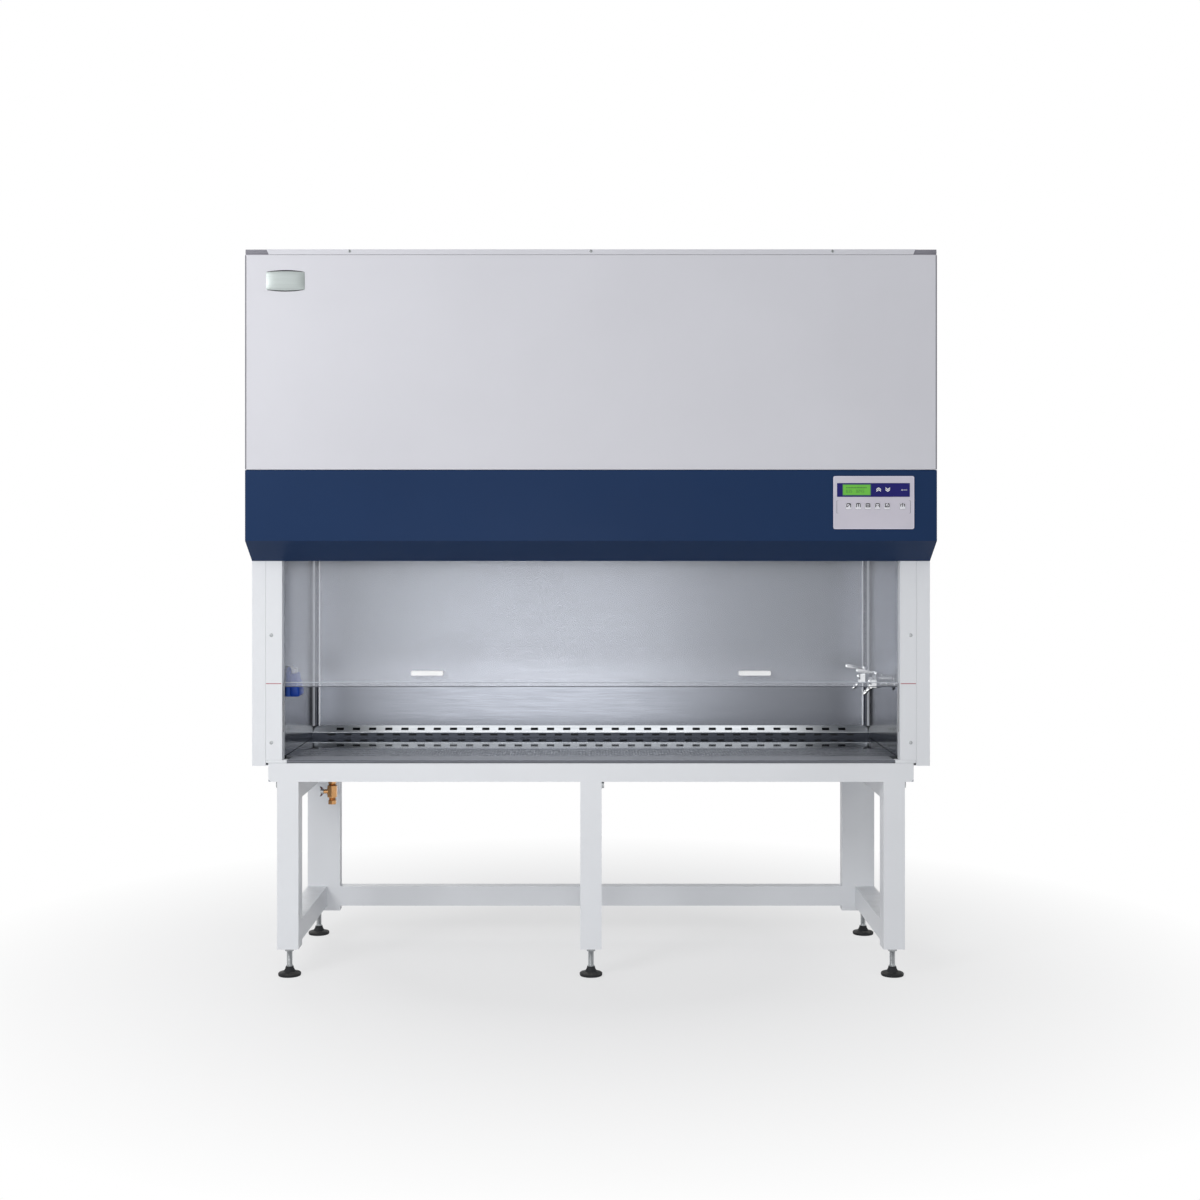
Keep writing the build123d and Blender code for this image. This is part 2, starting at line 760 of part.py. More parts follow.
def make_sash_drive():
    """The lifting shaft with its cable drums, brackets and gear motor."""
    web_out = rail_web_half + rail_web
    plate_x0 = web_out
    plate_x1 = web_out + bracket_thickness
    half = plate_x1 + shaft_overhang
    shaft = rod_x((-half, half), shaft_y, shaft_z, shaft_r)
    for side in (-1, 1):
        drum = centred(side * drum_x, drum_width)
        shaft += rod_x(drum, shaft_y, shaft_z, drum_r)
    save("sash_shaft", shaft)
    y = (rail_front_y, rail_front_y + bracket_size[0])
    plate = block((plate_x0, plate_x1), y, centred(shaft_z, bracket_size[1]))
    plate -= rod_x((plate_x0 - 1, plate_x1 + 1), shaft_y, shaft_z, shaft_r + bearing_gap)
    save("shaft_brackets", plate, mirrored(plate))
    motor = block((plate_x1, plate_x1 + motor_block[0]), centred(shaft_y, motor_block[1]),
                  centred(shaft_z, motor_block[2]))
    socket = rod_x((plate_x1 - 1, half + 1), shaft_y, shaft_z, shaft_r + bearing_gap)
    save("sash_motor", motor - socket)


def screw_head(x, y, z):
    """A small screw head, drawn with twelve sides, on a face that looks forward."""
    head = extrude(Plane.XZ * RegularPolygon(screw_r, 12), amount=screw_high)
    return Pos(x, y, z) * head


def make_screws():
    """Two screws on each post cover and three on the top rail."""
    places = [(side * post_screw_x, body_y, z) for side in (-1, 1) for z in post_screw_z]
    places += [(step * top_screw_step, header_y, panel_top_z + top_screw_up) for step in (-1, 0, 1)]
    save("panel_screws", *[screw_head(*place) for place in places])


# ---------------------------------------------------------------- control panel
def make_control_panel():
    """The keypad plate on the blue front, its keys and its display window."""
    plate = plate_xz(centred(plate_x, plate_width), centred(plate_z, plate_height),
                     plate_front_y, header_y, plate_corner)
    through = (plate_front_y - 1, header_y + 1)
    first_x = plate_x - plate_width / 2 + first_key
    places = [first_x + i * key_pitch for i in range(key_count)]
    places.append(places[-1] + last_key_step)
    keys = {f"key_{i + 1}": (x, key_z, key_size) for i, x in enumerate(places)}
    keys["key_up"] = (plate_x + up_key_right, arrow_z, arrow_size)
    keys["key_down"] = (plate_x + up_key_right + arrow_pitch, arrow_z, arrow_size)
    for name, (x, z, size) in keys.items():
        hole = size + 2 * key_gap
        plate -= block(centred(x, hole), through, centred(z, hole))
        key = plate_xz(centred(x, size), centred(z, size), key_front_y, key_front_y + key_depth,
                       key_corner)
        save(name, key)
    recess_y = (plate_front_y, plate_front_y + display_depth)
    window = (centred(display_x, display_width), recess_y, centred(arrow_z, display_height))
    save("control_panel", plate - block(*window))
    save("display_window", block(*window))


# ---------------------------------------------------------------- air system
def filter_box(x, y, z):
    """A pleated filter cell: a rim with a shallow recess on both faces."""
    cell = block(x, y, z)
    inner_x = (x[0] + filter_rim, x[1] - filter_rim)
    inner_y = (y[0] + filter_rim, y[1] - filter_rim)
    cell -= block(inner_x, inner_y, (z[0] - 1, z[0] + filter_recess))
    return cell - block(inner_x, inner_y, (z[1] - filter_recess, z[1] + 1))


def make_filters_and_plenum():
    x = (-filter_half, filter_half)
    y = (filter_front_y, filter_back_y)
    save("supply_filter", filter_box(x, y, (filter_z, plenum_z)))
    exhaust_x = (-exhaust_half, exhaust_half)
    save("exhaust_filter", filter_box(exhaust_x, exhaust_y, (plenum_top_z, lid_top_z - sheet)))
    plenum = block(x, y, (plenum_z, plenum_top_z))
    plenum -= block((x[0] + sheet, x[1] - sheet), (y[0] + sheet, y[1] - sheet),
                    (plenum_z - 1, plenum_top_z - sheet))
    rim = exhaust_half - filter_rim
    opening_y = (exhaust_y[0] + filter_rim, exhaust_y[1] - filter_rim)
    plenum -= block((-rim, rim), opening_y, (plenum_top_z - 9, plenum_top_z + 1))
    plenum -= rod_y(0, (y[1] - 9, y[1] + 1), scroll_z, inlet_r)
    save("plenum_box", plenum)


def make_blower():
    """The fan: scroll housing on the plenum's back wall, wheel, and motor in front."""
    back = filter_back_y - sheet
    front = back - scroll_width
    outline = Circle(scroll_r) + Pos(scroll_outlet[0] / 2, scroll_outlet[1] / 2 - scroll_r) * (
        Rectangle(*scroll_outlet))
    shell = extrude(Plane.XZ * outline, amount=scroll_width, dir=(0, 1, 0))
    inner = Circle(scroll_r - sheet) + Pos(scroll_outlet[0] / 2 + sheet,
                                           scroll_outlet[1] / 2 - scroll_r) * (
        Rectangle(scroll_outlet[0], scroll_outlet[1] - 2 * sheet))
    hollow = extrude(Plane.XZ * inner, amount=scroll_width - 2 * sheet, dir=(0, 1, 0))
    shell = Pos(0, front, scroll_z) * (shell - Pos(0, sheet, 0) * hollow)
    shell -= rod_y(0, (back - sheet - 1, back + 1), scroll_z, inlet_r)
    shell -= rod_y(0, (front - 1, front + sheet + 1), scroll_z, 1.5 * motor_shaft_r)
    save("blower_housing", shell)
    wheel_front = front + wheel_clearance
    wheel_y = (wheel_front, wheel_front + wheel_width)
    disc = rod_y(0, (wheel_y[0], wheel_y[0] + sheet), scroll_z, wheel_r)
    hub = rod_y(0, (wheel_y[0], wheel_y[0] + hub_long), scroll_z, hub_r)
    ring = rod_y(0, (wheel_y[1] - sheet, wheel_y[1]), scroll_z, wheel_r)
    ring -= rod_y(0, (wheel_y[1] - 2 * sheet, wheel_y[1] + sheet), scroll_z, wheel_r - wheel_ring)
    wheel = disc + hub + ring
    blade_wide = wheel_width - sheet
    blade = Box(blade_long, blade_wide, blade_thickness)
    for i in range(wheel_blades):
        turned = Pos(wheel_r - blade_long * 0.6, 0, 0) * Rot(0, blade_turn, 0) * blade
        spin = Rot(0, 360 / wheel_blades * i, 0)
        wheel += Pos(0, wheel_y[0] + blade_wide / 2 + sheet / 2, scroll_z) * spin * turned
    bore = rod_y(0, (wheel_y[0] - 1, wheel_y[0] + motor_shaft_in), scroll_z,
                 motor_shaft_r + bearing_gap)
    save("blower_wheel", wheel - bore)
    motor = rod_y(0, (front - motor_long, front), scroll_z, motor_r)
    motor += rod_y(0, (front, wheel_y[0] + motor_shaft_in - 1), scroll_z, motor_shaft_r)
    save("blower_motor", motor)


# ---------------------------------------------------------------- lamps and electrics
def make_lamps():
    """The lamp channel under the ceiling, behind the header, with its two tubes."""
    y0 = rail_back_y + sheet
    y = (y0, y0 + channel_depth)
    z = (ceiling_z - channel_drop, ceiling_z)
    half = lamp_half + holder
    channel = block((-half, half), y, z)
    inside = (y[0] + steel_skin, y[1] - steel_skin)
    channel -= block((-lamp_half, lamp_half), inside, (z[0] - 1, z[1] - steel_skin))
    lamp_y = inside[0] + lamp_gap / 2 + lamp_r
    uv_y = inside[1] - lamp_gap / 2 - uv_lamp_r
    lamp_z = z[0] + lamp_r + lamp_gap
    lamp = rod_x((-lamp_half, lamp_half), lamp_y, lamp_z, lamp_r)
    uv = rod_x((-lamp_half, lamp_half), uv_y, lamp_z, uv_lamp_r)
    save("lamp_channel", channel)
    save("lamp_tubes", lamp, uv)


def make_electrics():
    """The switch box inside the header and the inlet on the rear cover."""
    y = (header_y + panel_return + 2 * sheet, body_y - 4 * sheet)
    x = (body_half - sheet - box_width, body_half - sheet)
    z = (seam_z + box_up, seam_z + box_up + box_height)
    box = block(x, y, z)
    edge = 4 * sheet
    lid = block((x[0] + edge, x[1] - edge), (y[0] - sheet, y[0]), (z[0] + edge, z[1] - edge))
    save("electrical_box", box + lid)
    px, pz = inlet_place
    flange = plate_xz(centred(px, inlet_size[0]), centred(pz, inlet_size[1]),
                      back_y, back_y + inlet_flange, 4)
    core_wide = inlet_size[0] - 2 * inlet_collar - 2 * glide_gap
    core_high = inlet_size[1] - 2 * inlet_collar - 2 * glide_gap
    deep = 2 * inlet_collar
    core = block(centred(px, core_wide), (back_y - 2 * deep, back_y), centred(pz, core_high))
    well = block(centred(px, core_wide / 2), (back_y - deep, back_y + inlet_flange + 1),
                 centred(pz, core_high / 2))
    save("power_inlet", flange + core - well)


# ---------------------------------------------------------------- fittings
def cock_nozzle():
    """A hose nozzle with two barbs on a hexagonal root, pointing up."""
    barb = (cock_nozzle_long - cock_neck) / 2
    wide_r, tip_r = cock_nozzle_r, cock_nozzle_r - barb_step
    points = [(0, 0)]
    for i in range(2):
        points += [(wide_r, i * barb), (tip_r, (i + 1) * barb)]
    points += [(nozzle_bore_r, 2 * barb), (nozzle_bore_r, 0)]
    hose_end = revolve(make_face(Plane.XZ * Polyline(*points[1:], close=True)), axis=Axis.Z)
    root = hexagon_z(0, 0, (0, cock_neck), 2 * cock_nozzle_r)
    return root + Pos(0, 0, cock_neck) * hose_end


def make_cocks():
    """Two wall cocks on the right-hand wall: flange, pipe, valve and hose nozzle."""
    bodies = []
    wall = chamber_half
    stem_x = wall - cock_valve_out
    bonnet_z = cock_z + cock_bonnet_high
    half_valve = cock_valve_flats / 2
    for name, back in cock_backs.items():
        y = body_y + back
        body = rod_x((wall - cock_flange, wall), y, cock_z, cock_flange_r)
        body += rod_x((stem_x, wall - cock_flange), y, cock_z, cock_pipe_r)
        body += hexagon_z(stem_x, y, centred(cock_z, cock_valve_flats), cock_valve_flats)
        body += hexagon_z(stem_x, y, (cock_z, bonnet_z), cock_bonnet_flats)
        body += rod_z(stem_x, y, (bonnet_z, bonnet_z + cock_stem_high), cock_stem_r)
        place = Pos(stem_x - half_valve * 0.6, y, cock_z - half_valve * 0.3) * Rot(0, -135, 0)
        bodies.append(body + place * cock_nozzle())
        hub = rod_z(0, 0, (0, lever_hub_high), lever_hub_r)
        taper = Polyline((0, lever_hub_r * 0.5), (-lever_long, lever_hub_r * 0.85),
                         (-lever_long - lever_hub_r * 0.6, 0), (-lever_long, -lever_hub_r * 0.85),
                         (0, -lever_hub_r * 0.5), close=True)
        blade = extrude(make_face(taper), amount=lever_thickness)
        lever = hub + Pos(0, 0, (lever_hub_high - lever_thickness) / 2) * blade
        lever -= rod_z(0, 0, (-1, lever_hub_high + 1), cock_stem_r + bearing_gap)
        save(f"cock_lever_{name}", Pos(stem_x, y, bonnet_z + glide_gap) * lever)
    save("cock_bodies", *bodies)


def cover_shell(x_in, z_low, z_top, wall):
    """The side outline of the splash cover, moved in by a wall thickness."""
    front_top = x_in + cover_top_deep - wall
    front_low = -chamber_half + cover_deep - wall
    bend_z = z_low + cover_bulge
    back = x_in - (1 if wall else 0)
    return [(back, z_top - wall), (front_top, z_top - wall), (front_low, bend_z),
            (front_low, z_low + wall), (back, z_low + wall)]


def make_socket():
    """A power socket on the left wall with a hinged splash cover."""
    wall = -chamber_half
    y = body_y + socket_back
    base_z = centred(socket_z, socket_high)
    base = block((wall, wall + socket_base), centred(y, socket_width), base_z)
    hinge_z = socket_z + hinge_up
    hinge_x = wall + barrel_r + sheet
    for side in (-1, 1):
        ear_y = sorted((y + side * hinge_half, y + side * (hinge_half + ear_width)))
        ear = block((wall, hinge_x + barrel_r), ear_y, (base_z[1] - 1, hinge_z))
        base += ear + rod_y(hinge_x, ear_y, hinge_z, barrel_r)
    base += rod_y(hinge_x, (y - hinge_half, y + hinge_half), hinge_z, hinge_r)
    for side in (-1, 1):
        base -= rod_x((wall + socket_base / 3, wall + socket_base + 1), y,
                      socket_z + side * pin_hole_step, pin_hole_r)
    save("socket_box", base)
    top_z = base_z[1] - cover_drop
    x_in = wall + socket_base + 2 * glide_gap
    half = socket_width / 2
    solids = []
    for skin in (0.0, cover_wall):
        outline = [(px, y - half + skin, pz)
                   for px, pz in cover_shell(x_in, base_z[0], top_z, skin)]
        face = make_face(Polyline(*outline, close=True))
        solids.append(extrude(face, amount=socket_width - 2 * skin, dir=(0, 1, 0)))
    shell = solids[0] - solids[1]
    arm_half = hinge_half - glide_gap
    arm_y = (y - arm_half, y + arm_half)
    arm_top_z = hinge_z - 1
    arm = block((x_in, x_in + cover_top_deep), arm_y, (top_z - 1, arm_top_z))
    arm += rod_y(hinge_x, arm_y, hinge_z, barrel_r)
    arm += block((hinge_x, x_in + 1), arm_y, (hinge_z - hinge_r, arm_top_z))
    cover = shell + arm
    cover -= rod_y(hinge_x, (y - hinge_half - 1, y + hinge_half + 1), hinge_z,
                   hinge_r + bearing_gap)
    save("socket_cover", cover)


def make_drain():
    """The ball valve under the base pan, with a butterfly handle on its left."""
    y = body_y + drain_back
    collar_z = stand_top_z - drain_flange
    body_z = (stand_top_z - drain_body, stand_top_z - drain_neck)
    tail_z = stand_top_z - drain_drop
    valve = rod_z(drain_x, y, (collar_z, stand_top_z), drain_flange_r)
    valve += hexagon_z(drain_x, y, (tail_z, collar_z), 2 * drain_tail_half)
    valve += hexagon_z(drain_x, y, body_z, 2 * drain_r)
    valve -= rod_z(drain_x, y, (tail_z - 1, stand_top_z + 1), drain_bore_r)
    ball_z = stand_top_z - drain_axis_drop
    stem_end = drain_x - drain_handle_out
    collar_r = 1.5 * drain_stem_r
    valve += rod_x((stem_end + sheet, drain_x - drain_r + sheet), y, ball_z, collar_r)
    valve += rod_x((stem_end - 2 * sheet, stem_end + sheet), y, ball_z, drain_stem_r)
    save("drain_valve", valve)
    handle_x = (stem_end - 2 * sheet, stem_end + sheet - glide_gap)
    hub = rod_x(handle_x, y, ball_z, 2 * drain_stem_r)
    wing = block(handle_x, centred(y, drain_handle_wide), centred(ball_z, drain_handle_long))
    handle = hub + wing
    handle -= rod_x((stem_end - 9, stem_end + 9), y, ball_z, drain_stem_r + bearing_gap)
    save("drain_handle", handle)


make_legs()
make_stand_rails()
make_feet_and_bolts()
make_base_pan()
make_front_beam()
make_armrest()
make_floor_panels()
make_side_walls()
make_back_wall()
make_slot_panel()
make_ceiling()
make_outer_sides()
make_rear_cover()
make_upper_panel()
make_fascia()
make_top()
make_exhaust_guard()
make_posts()
make_sash()
make_sash_drive()
make_screws()
make_control_panel()
make_filters_and_plenum()
make_blower()
make_lamps()
make_electrics()
make_cocks()
make_socket()
make_drain()
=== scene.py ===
import math

import bmesh
import bpy
from mathutils import Matrix, Vector


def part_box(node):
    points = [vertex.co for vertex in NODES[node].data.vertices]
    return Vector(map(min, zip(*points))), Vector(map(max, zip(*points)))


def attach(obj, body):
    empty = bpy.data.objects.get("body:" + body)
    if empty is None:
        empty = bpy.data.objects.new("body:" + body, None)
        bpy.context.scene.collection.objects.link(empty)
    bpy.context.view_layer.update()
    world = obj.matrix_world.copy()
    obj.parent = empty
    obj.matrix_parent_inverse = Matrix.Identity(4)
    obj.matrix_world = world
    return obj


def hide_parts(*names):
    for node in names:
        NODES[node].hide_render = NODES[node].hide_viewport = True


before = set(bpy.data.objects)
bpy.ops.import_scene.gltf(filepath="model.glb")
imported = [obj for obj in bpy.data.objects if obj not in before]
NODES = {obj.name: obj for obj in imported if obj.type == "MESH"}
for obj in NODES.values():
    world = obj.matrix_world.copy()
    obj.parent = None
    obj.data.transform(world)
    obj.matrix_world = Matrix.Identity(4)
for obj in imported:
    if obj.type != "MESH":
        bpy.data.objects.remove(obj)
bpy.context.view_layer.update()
MM = 0.001

# ---------------------------------------------------------------- view
EYE = (0.0, -4.914, 1.200)
LENS_MM = 49.42
SHIFT = (0.0075, -0.0417)


# ---------------------------------------------------------------- colours
def tint(hex_colour):
    """A written sRGB colour as the linear colour that a shader takes."""
    parts = [int(hex_colour[i:i + 2], 16) / 255 for i in (1, 3, 5)]
    linear = [v / 12.92 if v <= 0.04045 else ((v + 0.055) / 1.055) ** 2.4 for v in parts]
    return (*linear, 1.0)


# ---------------------------------------------------------------- shader helpers
def put(tree, node, label, value):
    """Link a socket to another one, or set it to a constant."""
    socket = node.inputs[label]
    if isinstance(value, bpy.types.NodeSocket):
        tree.links.new(value, socket)
    else:
        socket.default_value = value


def add(tree, kind, **inputs):
    """A new node with some of its sockets set to constants or linked."""
    node = tree.nodes.new("ShaderNode" + kind)
    for label, value in inputs.items():
        put(tree, node, label.replace("_", " "), value)
    return node


def math_node(tree, operation, a, b=0.0, c=0.0):
    node = add(tree, "Math")
    node.operation = operation
    for i, value in enumerate((a, b, c)):
        put(tree, node, i, value)
    return node.outputs[0]


def spread_range(tree, value, low, high, to_low=0.0, to_high=1.0):
    return add(tree, "MapRange", Value=value, From_Min=low, From_Max=high, To_Min=to_low,
               To_Max=to_high).outputs["Result"]


def blend_colours(tree, factor, a, b):
    node = add(tree, "Mix")
    node.data_type = "RGBA"
    for index, value in ((0, factor), (6, a), (7, b)):
        put(tree, node, index, value)
    return node.outputs[2]


def axes(tree, vector):
    """The X, Y and Z of a vector."""
    split = add(tree, "SeparateXYZ")
    tree.links.new(vector, split.inputs[0])
    return split.outputs


def object_place(tree, stretch=(1.0, 1.0, 1.0)):
    """Object coordinates, stretched along the axes."""
    coords = add(tree, "TexCoord").outputs["Object"]
    return add(tree, "Mapping", Vector=coords, Scale=stretch).outputs["Vector"]


def noise(tree, vector, scale, detail):
    return add(tree, "TexNoise", Vector=vector, Scale=scale, Detail=detail).outputs["Fac"]


def effect(name, inputs, outputs, build):
    """A shader node group with named sockets; build returns one output socket a label."""
    group = bpy.data.node_groups.new(name, "ShaderNodeTree")
    for label, kind, value in inputs:
        socket = group.interface.new_socket(label, in_out="INPUT", socket_type=kind)
        if value is not None:
            socket.default_value = value
    for label, kind in outputs:
        group.interface.new_socket(label, in_out="OUTPUT", socket_type=kind)
    entry = group.nodes.new("NodeGroupInput")
    leave = group.nodes.new("NodeGroupOutput")
    results = build(group, entry.outputs)
    for label, socket in results.items():
        group.links.new(socket, leave.inputs[label])
    return group


def use_effect(tree, group, **inputs):
    node = add(tree, "Group")
    node.node_tree = group
    for label, value in inputs.items():
        put(tree, node, label.replace("_", " "), value)
    return node.outputs


FLOAT = "NodeSocketFloat"
VECTOR = "NodeSocketVector"


def scaled_noise(tree, vector, scale, detail, low, high):
    """Noise whose scale may come from a group's input, stretched between two values."""
    return spread_range(tree, noise(tree, vector, scale, detail), low, high)


def powder_texture(tree, given):
    peel = scaled_noise(tree, given["Vector"], given["Peel scale"], 1.5, 0.35, 0.65)
    cloud = scaled_noise(tree, given["Vector"], given["Cloud scale"], 3.0, 0.3, 0.7)
    return {"Height": peel, "Cloud": cloud}


def grain_texture(tree, given):
    """Fine parallel lines: the vector comes in already squeezed along the rolling direction."""
    fine = scaled_noise(tree, given["Vector"], given["Line scale"], 3.0, 0.3, 0.7)
    broad = scaled_noise(tree, given["Vector"], given["Band scale"], 2.0, 0.3, 0.7)
    lines = math_node(tree, "MULTIPLY_ADD", broad, 0.35, math_node(tree, "MULTIPLY", fine, 0.65))
    return {"Lines": lines}


def handling_texture(tree, given):
    """Wiping smears and faint finger marks."""
    smear = scaled_noise(tree, given["Vector"], given["Scale"], 4.0, 0.42, 0.72)
    patch = scaled_noise(tree, given["Vector"], 2.3, 2.0, 0.35, 0.75)
    return {"Smears": math_node(tree, "MULTIPLY", smear, patch)}


def dust_texture(tree, given):
    """Dust that lies on what faces up."""
    facing_way = axes(tree, add(tree, "NewGeometry").outputs["Normal"])
    up = spread_range(tree, facing_way["Z"], 0.5, 0.95)
    fall = scaled_noise(tree, given["Vector"], given["Scale"], 5.0, 0.4, 0.65)
    mask = math_node(tree, "MULTIPLY", up, fall)
    return {"Dust": math_node(tree, "MULTIPLY", mask, given["Amount"])}


POWDER = effect("Powder coat texture",
                [("Vector", VECTOR, None), ("Peel scale", FLOAT, 900.0),
                 ("Cloud scale", FLOAT, 3.0)],
                [("Height", FLOAT), ("Cloud", FLOAT)], powder_texture)
GRAIN = effect("Rolled grain",
               [("Vector", VECTOR, None), ("Line scale", FLOAT, 260.0),
                ("Band scale", FLOAT, 40.0)],
               [("Lines", FLOAT)], grain_texture)
HANDLING = effect("Handling marks",
                  [("Vector", VECTOR, None), ("Scale", FLOAT, 14.0)],
                  [("Smears", FLOAT)], handling_texture)
DUST = effect("Settled dust",
              [("Vector", VECTOR, None), ("Scale", FLOAT, 30.0), ("Amount", FLOAT, 0.3)],
              [("Dust", FLOAT)], dust_texture)


def smears(tree, scale):
    """Handling marks in Object coordinates."""
    return use_effect(tree, HANDLING, Vector=object_place(tree), Scale=scale)["Smears"]


def new_material(name, **values):
    """A material and its Principled shader, with constants on the shader's own sockets."""
    material = bpy.data.materials.new(name)
    material.use_nodes = True
    tree = material.node_tree
    shader = tree.nodes["Principled BSDF"]
    for label, value in values.items():
        shader.inputs[label.replace("_", " ")].default_value = value
    return material, tree, shader


def set_skin(tree, shader, shade, marks, amount, least):
    """The colour, and a roughness that grows from its least value with the marks."""
    put(tree, shader, "Base Color", shade)
    put(tree, shader, "Roughness", math_node(tree, "MULTIPLY_ADD", marks, amount, least))


def reopened(material):
    """A finished material's parts again, with the socket that feeds its colour."""
    tree = material.node_tree
    shader = tree.nodes["Principled BSDF"]
    return material, tree, shader, shader.inputs["Base Color"].links[0].from_socket


def colour_and_dimmed(hex_colour, factor):
    """A colour and the same colour made darker."""
    base = tint(hex_colour)
    return base, (*(c * factor for c in base[:3]), 1.0)


def bump(tree, shader, height, strength, distance):
    node = add(tree, "Bump", Strength=strength, Distance=distance, Height=height)
    put(tree, shader, "Normal", node.outputs["Normal"])


# ---------------------------------------------------------------- materials
ALONG_X = (0.04, 1.0, 1.0)
ALONG_Z = (1.0, 1.0, 0.04)


def powder_coat(name, colour, roughness=0.38, cloud=0.035, dust=0.15, shine=0.4):
    """Baked powder coat: orange peel, slight clouding and a little dust on top."""
    material, tree, shader = new_material(name, Specular_IOR_Level=shine)
    place = object_place(tree)
    coat = use_effect(tree, POWDER, Vector=place, Peel_scale=650.0, Cloud_scale=2.6)
    marks = smears(tree, 9.0)
    dusty = use_effect(tree, DUST, Vector=place, Scale=26.0, Amount=dust)
    base, darker = colour_and_dimmed(colour, (1 - cloud))
    shade = blend_colours(tree, coat["Cloud"], base, darker)
    shade = blend_colours(tree, dusty["Dust"], shade, tint("#b9b7b2"))
    set_skin(tree, shader, shade, marks, 0.10, roughness)
    bump(tree, shader, coat["Height"], 0.12, 0.0004)
    return material


def brushed_steel(name, colour, roughness, stretch, grain=0.08, wear=0.06):
    """Stainless sheet with its grain along one axis and faint wiping marks."""
    material, tree, shader = new_material(name, Metallic=1.0)
    squeezed = object_place(tree, stretch)
    lines = use_effect(tree, GRAIN, Vector=squeezed, Line_scale=300.0, Band_scale=90.0)["Lines"]
    marks = smears(tree, 11.0)
    base, darker = colour_and_dimmed(colour, 0.90)
    shade = blend_colours(tree, lines, base, darker)
    put(tree, shader, "Base Color", shade)
    rough = math_node(tree, "MULTIPLY_ADD", lines, grain, roughness)
    put(tree, shader, "Roughness", math_node(tree, "MULTIPLY_ADD", marks, wear, rough))
    bump(tree, shader, lines, grain * 0.5, 0.0001)
    return material


def back_wall_steel():
    """The back wall: along its rounded corners one dark upright line of painted shade and two
    bright ones of painted highlight, placed by position; its dark stainless tone is partly painted
    shade of the chamber.
    """
    material, tree, shader, plain = reopened(
        brushed_steel("Back wall stainless", "#75787f", 0.22, ALONG_X, 0.05, 0.01))
    place = axes(tree, object_place(tree))
    turn = spread_range(tree, math_node(tree, "ABSOLUTE", place["X"]), 0.855, 0.875)
    ramp = add(tree, "ValToRGB", Fac=turn)
    stops = ramp.color_ramp.elements
    stops[0].position, stops[0].color = 0.0, (0.0, 0.0, 0.0, 1.0)
    stops[1].position, stops[1].color = 1.0, (0.9, 0.9, 0.9, 1.0)
    for position, level in ((0.03, 0.0), (0.06, 1.0), (0.18, 1.0), (0.24, 0.0), (0.72, 0.0),
                            (0.80, 0.9)):
        stop = stops.new(position)
        stop.color = (level, level, level, 1.0)
    bright = ramp.outputs["Color"]
    # Painted shade line and painted highlight lines along the coves; the metal is turned off under
    # the painted highlight so it shows as drawn.
    dark = math_node(tree, "MULTIPLY", spread_range(tree, turn, 0.20, 0.26),
                     spread_range(tree, turn, 0.62, 0.50))
    shade = blend_colours(tree, dark, plain, tint("#2a2c34"))
    shade = blend_colours(tree, bright, shade, tint("#eff1f6"))
    put(tree, shader, "Base Color", shade)
    put(tree, shader, "Metallic", math_node(tree, "SUBTRACT", 1.0, bright))
    return material


def side_wall_steel(name, painted_low_colour):
    """A polished side wall whose lowest part is painted darker, a painted reflection of the darker
    floor; its dark stainless tone is partly painted shade of the chamber.
    """
    material, tree, shader, plain = reopened(
        brushed_steel(name, "#6e717a", 0.16, ALONG_Z, 0.05, 0.01))
    place = axes(tree, object_place(tree))
    lower = spread_range(tree, place["Z"], 0.84, 0.77)
    shade = blend_colours(tree, lower, plain, tint(painted_low_colour))
    put(tree, shader, "Base Color", shade)
    return material


def armrest_steel():
    """The folded armrest: bright on top, with its narrow front edge painted dark as painted shade.
    """
    material, tree, shader, plain = reopened(
        brushed_steel("Armrest stainless", "#d2d5dc", 0.30, ALONG_X))
    place = axes(tree, object_place(tree))
    shader.inputs["Metallic"].default_value = 0.5
    # The front edge is painted dark: painted shade.
    edge = spread_range(tree, place["Y"], -0.2955, -0.2965)
    shade = blend_colours(tree, edge, plain, tint("#64676e"))
    put(tree, shader, "Base Color", shade)
    return material


SLOT_PITCH, SLOT_Z = 0.051, 0.6360


def slot_strip_steel():
    """The air return at the foot of the back wall: a bright sloped face, its pale tone partly
    painted highlight, over a throat painted dark as painted shade, with a band of painted shade
    round each slot.
    """
    material, tree, shader = new_material("Air return strip", Metallic=1.0)
    squeezed = object_place(tree, ALONG_X)
    lines = use_effect(tree, GRAIN, Vector=squeezed, Line_scale=240.0, Band_scale=36.0)["Lines"]
    place = axes(tree, object_place(tree))
    bright = spread_range(tree, place["Z"], 0.6254, 0.6262)
    face = blend_colours(tree, lines, tint("#e6e9ec"), tint("#d0d4d8"))
    # Below the slope the throat is painted dark: painted shade.
    shade = blend_colours(tree, bright, tint("#3d4047"), face)
    pitch = math_node(tree, "MULTIPLY_ADD", place["X"], 1 / SLOT_PITCH, 100.0)
    across = math_node(tree, "SUBTRACT", math_node(tree, "FRACT", pitch), 0.5)
    across = math_node(tree, "MULTIPLY", math_node(tree, "ABSOLUTE", across), SLOT_PITCH)
    up = math_node(tree, "ABSOLUTE", math_node(tree, "SUBTRACT", place["Z"], SLOT_Z))
    # A dark band round each slot: painted shade in the openings.
    slot_shade = math_node(tree, "MULTIPLY", spread_range(tree, across, 0.0118, 0.0108),
                       spread_range(tree, up, 0.0040, 0.0032))
    within = spread_range(tree, math_node(tree, "ABSOLUTE", place["X"]), 0.820, 0.816)
    slot_shade = math_node(tree, "MULTIPLY", slot_shade, within)
    shade = blend_colours(tree, slot_shade, shade, tint("#15161a"))
    set_skin(tree, shader, shade, lines, 0.10, 0.26)
    return material


